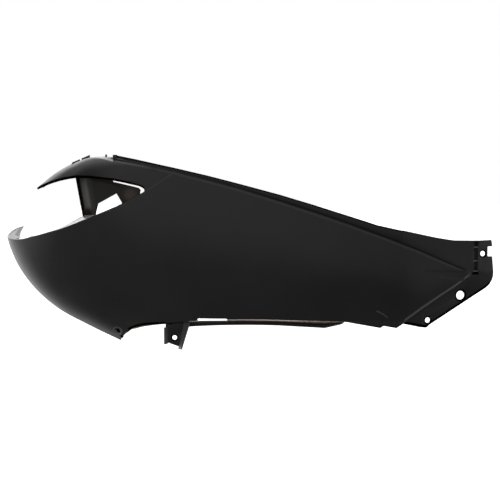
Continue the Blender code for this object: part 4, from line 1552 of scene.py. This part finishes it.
@dataclass
class FrontFlange:
    """The flat flange at the front, with three holes, a notched end and a pressed groove with gussets.

    The holes are (x, z, diameter). The groove's opening is cut from clear in front of the flange to through behind
    it. The seats are how deep the trough, the gussets' fronts and the gussets' ends reach into what holds them.
    """

    form: SkinForm
    outline: Rows = (
        (-62, 107), (-31, 100.1), (-13.5, 96.2), (4, 93.1), (13, 91.7), (49, 90.6), (69.6, 91.2), (71.3, 82),
        (64, 81.8), (64, 68), (71.2, 67.8), (73.4, 44.8), (72.9, 39.2), (71, 33.4), (67.6, 28), (62.4, 23.4),
        (-20.5, -25.8), (-26, -30.4), (-35, -29.3), (-58.5, -23.8), (-63, -22), (-60.5, -18.5), (-35, -0.6),
        (-9, 15.8), (13, 27.5), (27, 36.4), (31.6, 39.8), (33.4, 42), (30, 44.6), (19.3, 49.8), (-9.8, 61.5),
        (-38.8, 73.9), (-62, 83.9),
    )
    holes: Rows = ((56.8, 72, 7.6), (24.1, 13.8, 12.4), (-24, -19.6, 7.6))
    wall: float = 2.4
    groove_x: Span = (43, 49)
    groove_z: Span = (44.4, 88)
    groove_depth: float = 5
    gussets: tuple[float, ...] = (80.5, 61, 46.5)
    gusset_wall: float = 1.6
    round: float = 1
    fine_round: float = 0.3
    through: float = 9
    clear: float = 5
    seats: Place = (1, 0.5, 0.6)

    def _behind(self, amount: float) -> Callable[[Array], Array]:
        """Give the depth of the plane that lies this far behind the flange's front."""
        return lambda x: self.form.flange_depth(x) + amount

    def build(self) -> list[bpy.types.Object]:
        """Build the plate, then the groove's trough and its gussets.

        Returns:
            The pieces.
        """
        wall = self.wall / math.cos(self.form.flange_turn)
        plate = plate_mesh("front_flange", self.outline, self._behind(0), self._behind(wall))
        tools = [drill_mesh(*hole, self.form.flange_turn) for hole in self.holes]
        left, right = self.groove_x
        low, high = self.groove_z
        opening = self._box(left, right, low, high)
        tools.append(plate_mesh("groove", opening, self._behind(-self.clear), self._behind(self.through)))
        pieces = [handed(bevelled(plate, tools, self.round), "front_flange", END_BLACK_WITH_PAINTED_LIGHT_AND_SHADE)]
        trough_seat, gusset_seat, side_seat = self.seats
        outer = self._box(left - self.wall, right + self.wall, low - self.wall, high + self.wall)
        trough = plate_mesh("trough", outer, self._behind(trough_seat), self._behind(self.groove_depth + self.wall))
        inside = plate_mesh("inside", opening, self._behind(-self.clear), self._behind(self.groove_depth))
        pieces.append(handed(bevelled(trough, [inside], self.fine_round), "groove_trough", END_BLACK_WITH_PAINTED_LIGHT_AND_SHADE))
        # The gussets' pale grey is painted glints in the groove
        for number, z in enumerate(self.gussets):
            web = self._box(left - side_seat, right + side_seat, z, z + self.gusset_wall)
            mesh = plate_mesh("gusset", web, self._behind(gusset_seat), self._behind(self.groove_depth + trough_seat))
            pieces.append(handed(bevelled(mesh, [], self.fine_round), f"gusset_{number}", RIB_AND_GUSSET_PAINTED_HIGHLIGHT))
        return pieces

    @staticmethod
    def _box(left: float, right: float, low: float, high: float) -> Rows:
        """Give the outline of a rectangle."""
        return ((left, low), (right, low), (right, high), (left, high))


@dataclass
class FixingTab:
    """The tab under the lower shelf: a flat face with a hole, as (x, z, diameter), between two ribs."""

    outline: Rows = ((-391.6, -21), (-391.6, -50.7), (-369, -58.9), (-357, -21))
    face: float = -5
    wall: float = 2.6
    rib: float = 6.5
    rib_seat: float = 1
    rib_left: Rows = ((-393.5, -29.9, 2.4, 5.6), (-393.5, -53, 2.4, 5.6))
    rib_right: Rows = ((-356, -21, 2.2, 9.5), (-368.2, -60.5, 2.2, 6))
    hole: Place = (-378.9, -44.7, 6.6)
    hole_sides: int = 48
    round: float = 0.8
    rib_round: float = 0.45
    samples: int = 12

    def _rib(self, ends: Rows, inward: int) -> tuple[Array, Array, Array]:
        """Work out a rib: a bar from its top to its bottom, whose inner side slopes away from the face's middle.

        Args:
            ends: Its top and bottom, as (x, z, width at the front, width at the back).
            inward: 1 where the face's middle lies towards +X, or -1.

        Returns:
            Points, quads and marks of the bar.
        """
        rows = np.array(ends, float)
        x, z, narrow, wide = (np.linspace(rows[0, k], rows[1, k], self.samples) for k in range(4))
        front, back = np.full_like(x, self.face - self.rib), np.full_like(x, self.face + self.rib_seat)
        corners = stations((x, front, z), (x, back, z), (x + inward * wide, back, z), (x + inward * narrow, front, z))
        return Bar(self.rib_round).swept(corners[:, ::-1] if inward > 0 else corners)

    def build(self) -> list[bpy.types.Object]:
        """Build the face and its two ribs.

        Returns:
            The pieces.
        """
        plate = plate_mesh("tab", self.outline, level(self.face), level(self.face + self.wall))
        drill = drill_mesh(*self.hole, 0, sides=self.hole_sides)
        return [
            handed(bevelled(plate, [drill], self.round), "tab", FLANGE_BLACK_WITH_PAINTED_SHADE),
            # The ribs' pale grey is painted highlights along them
            placed("tab_rib_left", *self._rib(self.rib_left, 1), finish=RIB_AND_GUSSET_PAINTED_HIGHLIGHT),
            placed("tab_rib_right", *self._rib(self.rib_right, -1), finish=RIB_AND_GUSSET_PAINTED_HIGHLIGHT),
        ]


@dataclass
class Catches:
    """The small catches on the upper lip, as (x from, x to, z from, z to, y from, y to, drop of the top)."""

    rows: Rows = (
        (-529, -517.5, 190, 205.5, 49, 51.6, 5),
        (-514.5, -502.5, 198, 211.5, 45, 47.6, 5),
        (-476.2, -473.7, 200, 211.8, 13.1, 15.7, 0),
        (-461.4, -455.5, 203, 211, -19.6, -17.2, 0),
    )
    round: float = 0.5

    def build(self) -> list[bpy.types.Object]:
        """Build the catches.

        Returns:
            The pieces.
        """
        pieces = []
        for number, (x0, x1, z0, z1, y0, y1, drop) in enumerate(self.rows):
            outline = [(x0, z0), (x1, z0), (x1, z1), (x0, z1 - drop)]
            mesh = plate_mesh("catch", outline, level(y0), level(y1))
            pieces.append(handed(bevelled(mesh, [], self.round), f"catch_{number}", FLANGE_BLACK_WITH_PAINTED_SHADE))
        return pieces


# Studio


Stops = tuple[tuple[float, Colour], ...]


def grey(*stops: tuple[float, float]) -> Stops:
    """Give stops of neutral light from pairs of a place and a brightness."""
    return tuple((at, (light, light, light)) for at, light in stops)


@dataclass(frozen=True)
class Room:
    """The room's light, as stops along one axis for each part of the sky, and where one part passes into the next.

    The axes run from -1 to 1: X to the panel's front, Y away from the camera and Z up.
    """

    front_high: Stops = grey((-0.45, 0.95), (-0.12, 0.5), (0.1, 0.45), (0.25, 0.42), (0.45, 0.31), (0.8, 0.24))
    front_low: Stops = grey((-0.5, 0.32), (-0.1, 0.17), (0.1, 0.15), (0.25, 0.16), (0.5, 0.12), (0.8, 0.08))
    front_line: Span = (-0.22, 0.2)
    right: Stops = grey((-0.33, 0.07), (-0.2, 0.27), (-0.09, 0.33), (0.02, 0.4), (0.2, 0.28))
    right_line: Span = (0.66, 0.74)
    middle_low: Stops = grey((-0.3, 0.12), (0.25, 0.12), (0.45, 0.6), (0.8, 0.8))
    middle_high: Stops = grey((-0.5, 0.65), (0.5, 0.6), (0.8, 0.5))
    middle_rise: Span = (-0.4, 0.4)
    middle_line: Span = (-0.5, 0.1)
    left: Stops = grey(
        (-0.75, 0.3), (-0.5, 0.46), (-0.3, 0.5), (-0.1, 0.52), (0, 0.75), (0.2, 1.8), (0.35, 2.4),
    )
    left_share: Stops = grey(
        (-0.9, 0.23), (-0.75, 0.38), (-0.6, 0.5), (-0.45, 0.75), (-0.24, 1), (0.1, 1), (0.4, 0.02), (0.56, 0.02),
        (0.65, 0.28), (0.9, 0.4),
    )
    left_line: Span = (-0.3, -0.42)
    back_deep: Stops = (
        (-0.5, (0.8, 0.8, 0.8)), (0.1, (0.02, 0.02, 0.02)), (-0.42, (0.6, 0.6, 0.6)), (-0.32, (0.02, 0.02, 0.02)),
        (-0.05, (0.02, 0.02, 0.02)), (-0.03, (1.1, 0.8, 0.62)), (0.07, (1.1, 0.8, 0.62)),
    )
    back_low: Stops = (
        (-0.5, (1.2, 1.2, 1.2)), (0.1, (0.05, 0.05, 0.05)), (-0.3, (0.6, 0.6, 0.6)), (-0.2, (0.05, 0.05, 0.05)),
        (-0.09, (0.05, 0.05, 0.05)), (-0.07, (1.1, 0.84, 0.65)), (-0.02, (1.1, 0.84, 0.65)),
        (0, (2.4, 2, 1.8)), (0.012, (9, 8.4, 8.1)), (0.024, (2.4, 2, 1.8)), (0.05, (1.1, 0.84, 0.65)),
        (0.075, (1.1, 0.84, 0.65)),
    )
    back_level: Stops = grey((-0.6, 2), (-0.3, 1))
    back_high: Stops = grey((-0.55, 1.9), (-0.3, 1.9), (-0.1, 1.9), (0.2, 1.5), (0.6, 1))
    deep_line: Span = (-0.62, -0.48)
    low_line: Span = (-0.3, -0.05)
    high_line: Span = (0.1, 0.4)
    back_line: Span = (0.63, 0.73)


@dataclass
class Studio:
    """Plain pale floor, soft light and the camera at the photograph's angle."""

    elevation: float = math.radians(4.5)
    distance: float = 1500
    target: Place = (-273, 0, 78.4)
    lens: float = 77.14
    sensor: float = 36
    view_reach: float = 100
    floor_height: float = -380
    floor_reach: float = 14000
    floor_steps: int = 9
    floor_glow: float = 0.9
    floor_roughness: float = 0.8
    floor_tones: tuple[Colour, Colour] = ((0.88, 0.88, 0.88), (0.93, 0.93, 0.93))
    mottle_scale: float = 3
    box_place: Place = (-0.3, 0.6, 2.2)
    box_aim: Place = (-0.27, 0, 0.08)
    box_size: Span = (3, 2)
    box_power: float = 6
    room: Room = field(default_factory=Room)

    def camera(self) -> bpy.types.Object:
        """Add the camera, level across and looking slightly down at the panel's outer side.

        Returns:
            The camera.
        """
        data = bpy.data.cameras.new("camera")
        data.lens, data.sensor_width, data.clip_end = self.lens, self.sensor, self.view_reach
        camera = linked("camera", data)
        x, y, z = self.target
        back, up = self.distance * math.cos(self.elevation), self.distance * math.sin(self.elevation)
        camera.location = (x * MM, (y - back) * MM, (z + up) * MM)
        camera.rotation_euler = (math.pi / 2 - self.elevation, 0, 0)
        bpy.context.scene.camera = camera
        return camera

    def floor(self) -> bpy.types.Object:
        """Add the floor: a wide grid with a faint mottle, well below the panel.

        Returns:
            The floor.
        """
        steps = self.floor_steps
        line = np.linspace(-self.floor_reach, self.floor_reach, steps)
        x, y = np.meshgrid(line, line, indexing="ij")
        points = np.stack([x, y, np.full_like(x, self.floor_height)], axis=-1).reshape(-1, 3)
        mesh = bpy.data.meshes.new("floor")
        mesh.from_pydata((points * MM).tolist(), [], grid_quads(steps, steps).tolist())
        floor = linked("floor", mesh)
        material = bpy.data.materials.new("floor_white")
        material.use_nodes = True
        graph = Graph(material.node_tree)
        place = graph.add("TexCoord", {}).outputs["Object"]
        mottle = graph.add("TexNoise", {"Vector": place, "Scale": self.mottle_scale}).outputs["Fac"]
        tone = graph.ramp(mottle, [(at, (*colour, 1)) for at, colour in enumerate(self.floor_tones)])
        shader = graph.tree.nodes["Principled BSDF"]
        shader.inputs["Roughness"].default_value = self.floor_roughness
        shader.inputs["Emission Color"].default_value = (1, 1, 1, 1)
        shader.inputs["Emission Strength"].default_value = self.floor_glow
        graph.tree.links.new(tone.outputs["Color"], shader.inputs["Base Color"])
        mesh.materials.append(material)
        floor.visible_glossy = False
        floor.visible_shadow = False
        floor.visible_diffuse = False
        return floor

    def world(self) -> None:
        """Set the room that lights the panel; the camera sees plain white behind it."""
        world = bpy.data.worlds.new("room")
        bpy.context.scene.world = world
        world.use_nodes = True
        graph, room = Graph(world.node_tree), self.room
        place = graph.add("TexCoord", {}).outputs["Generated"]
        axes = graph.add("SeparateXYZ", {"Vector": place})
        x, y, z = (axes.outputs[name] for name in "XYZ")
        low, high = self._along(graph, x, room.front_low), self._along(graph, x, room.front_high)
        sky = self._passed(graph, z, room.front_line, low, high)
        sky = self._passed(graph, x, room.right_line, sky, self._along(graph, z, room.right))
        low, high = self._along(graph, x, room.middle_low), self._along(graph, x, room.middle_high)
        middle = self._passed(graph, z, room.middle_rise, low, high)
        sky = self._passed(graph, y, room.middle_line, sky, middle)
        left = graph.mixed(self._along(graph, z, room.left_share), (0, 0, 0), self._along(graph, y, room.left))
        sky = self._passed(graph, x, room.left_line, sky, left)
        back = self._along(graph, x, room.back_deep)
        for line, stops in (
            (room.deep_line, room.back_low), (room.low_line, room.back_level), (room.high_line, room.back_high)
        ):
            back = self._passed(graph, z, line, back, self._along(graph, x, stops))
        sky = self._passed(graph, y, room.back_line, sky, back)
        shown = graph.mixed(graph.add("LightPath", {}).outputs["Is Camera Ray"], sky, (1, 1, 1))
        graph.tree.links.new(shown, graph.tree.nodes["Background"].inputs["Color"])

    @staticmethod
    def _along(graph: Graph, value: Socket, stops: Stops) -> Socket:
        """Give the colour at a value between -1 and 1, from stops."""
        places = [((at + 1) / 2, (*colour, 1)) for at, colour in stops]
        return graph.ramp(graph.mapped(value, (-1, 1)), places, "EASE").outputs["Color"]

    @staticmethod
    def _passed(graph: Graph, value: Socket, line: Span, below: Socket, above: Socket) -> Socket:
        """Pass smoothly from one part of the sky into the next, where a value crosses a line."""
        return graph.mixed(graph.mapped(value, line, kind="SMOOTHSTEP"), below, above)

    def overhead(self) -> bpy.types.Object:
        """Add the soft box above the panel, turned to face it.

        Returns:
            The light.
        """
        data = bpy.data.lights.new("overhead", "AREA")
        data.shape, data.size, data.size_y = "RECTANGLE", *self.box_size
        data.energy = self.box_power
        light = linked("overhead", data)
        light.location = self.box_place
        light.rotation_euler = (Vector(self.box_place) - Vector(self.box_aim)).to_track_quat("Z", "Y").to_euler()
        return light

    def build(self) -> None:
        """Set up the studio."""
        self.camera()
        self.floor()
        self.world()
        self.overhead()
        scene = bpy.context.scene
        scene.view_settings.view_transform = "Standard"
        scene.view_settings.look = "None"


def main() -> None:
    """Build the panel's pieces and the studio, and report each piece."""
    logging.basicConfig(level=logging.INFO, format="%(message)s")
    form, mouth, pocket = SkinForm(), MouthOutline(), ToePocket()
    plate = LampPlate(mouth)
    teeth = ((-142, -19.6), (-138, -20.2), (-92, -28.8), (-87.5, -26), (-69, -29.4), (-60, -23.6))
    assemblies = [
        Skin(form, mouth, pocket),
        pocket,
        plate,
        LipWall(form, mouth, plate),
        Sill(form, mouth, plate),
        NoseLedge(form, mouth),
        EdgeStrip("top_strip", form, Side.TOP, (*STRIP_TOP, (-56, 105.4))),
        EdgeStrip("toothed_strip", form, Side.BOTTOM, teeth),
        FrontFlange(form),
        FixingTab(),
        Catches(),
    ]
    for assembly in assemblies:
        built = assembly.build()
        for piece in built if isinstance(built, list) else [built]:
            LOG.info("%s: %d faces", piece.name, len(piece.data.polygons))
    Studio().build()


if __name__ == "__main__":
    main()
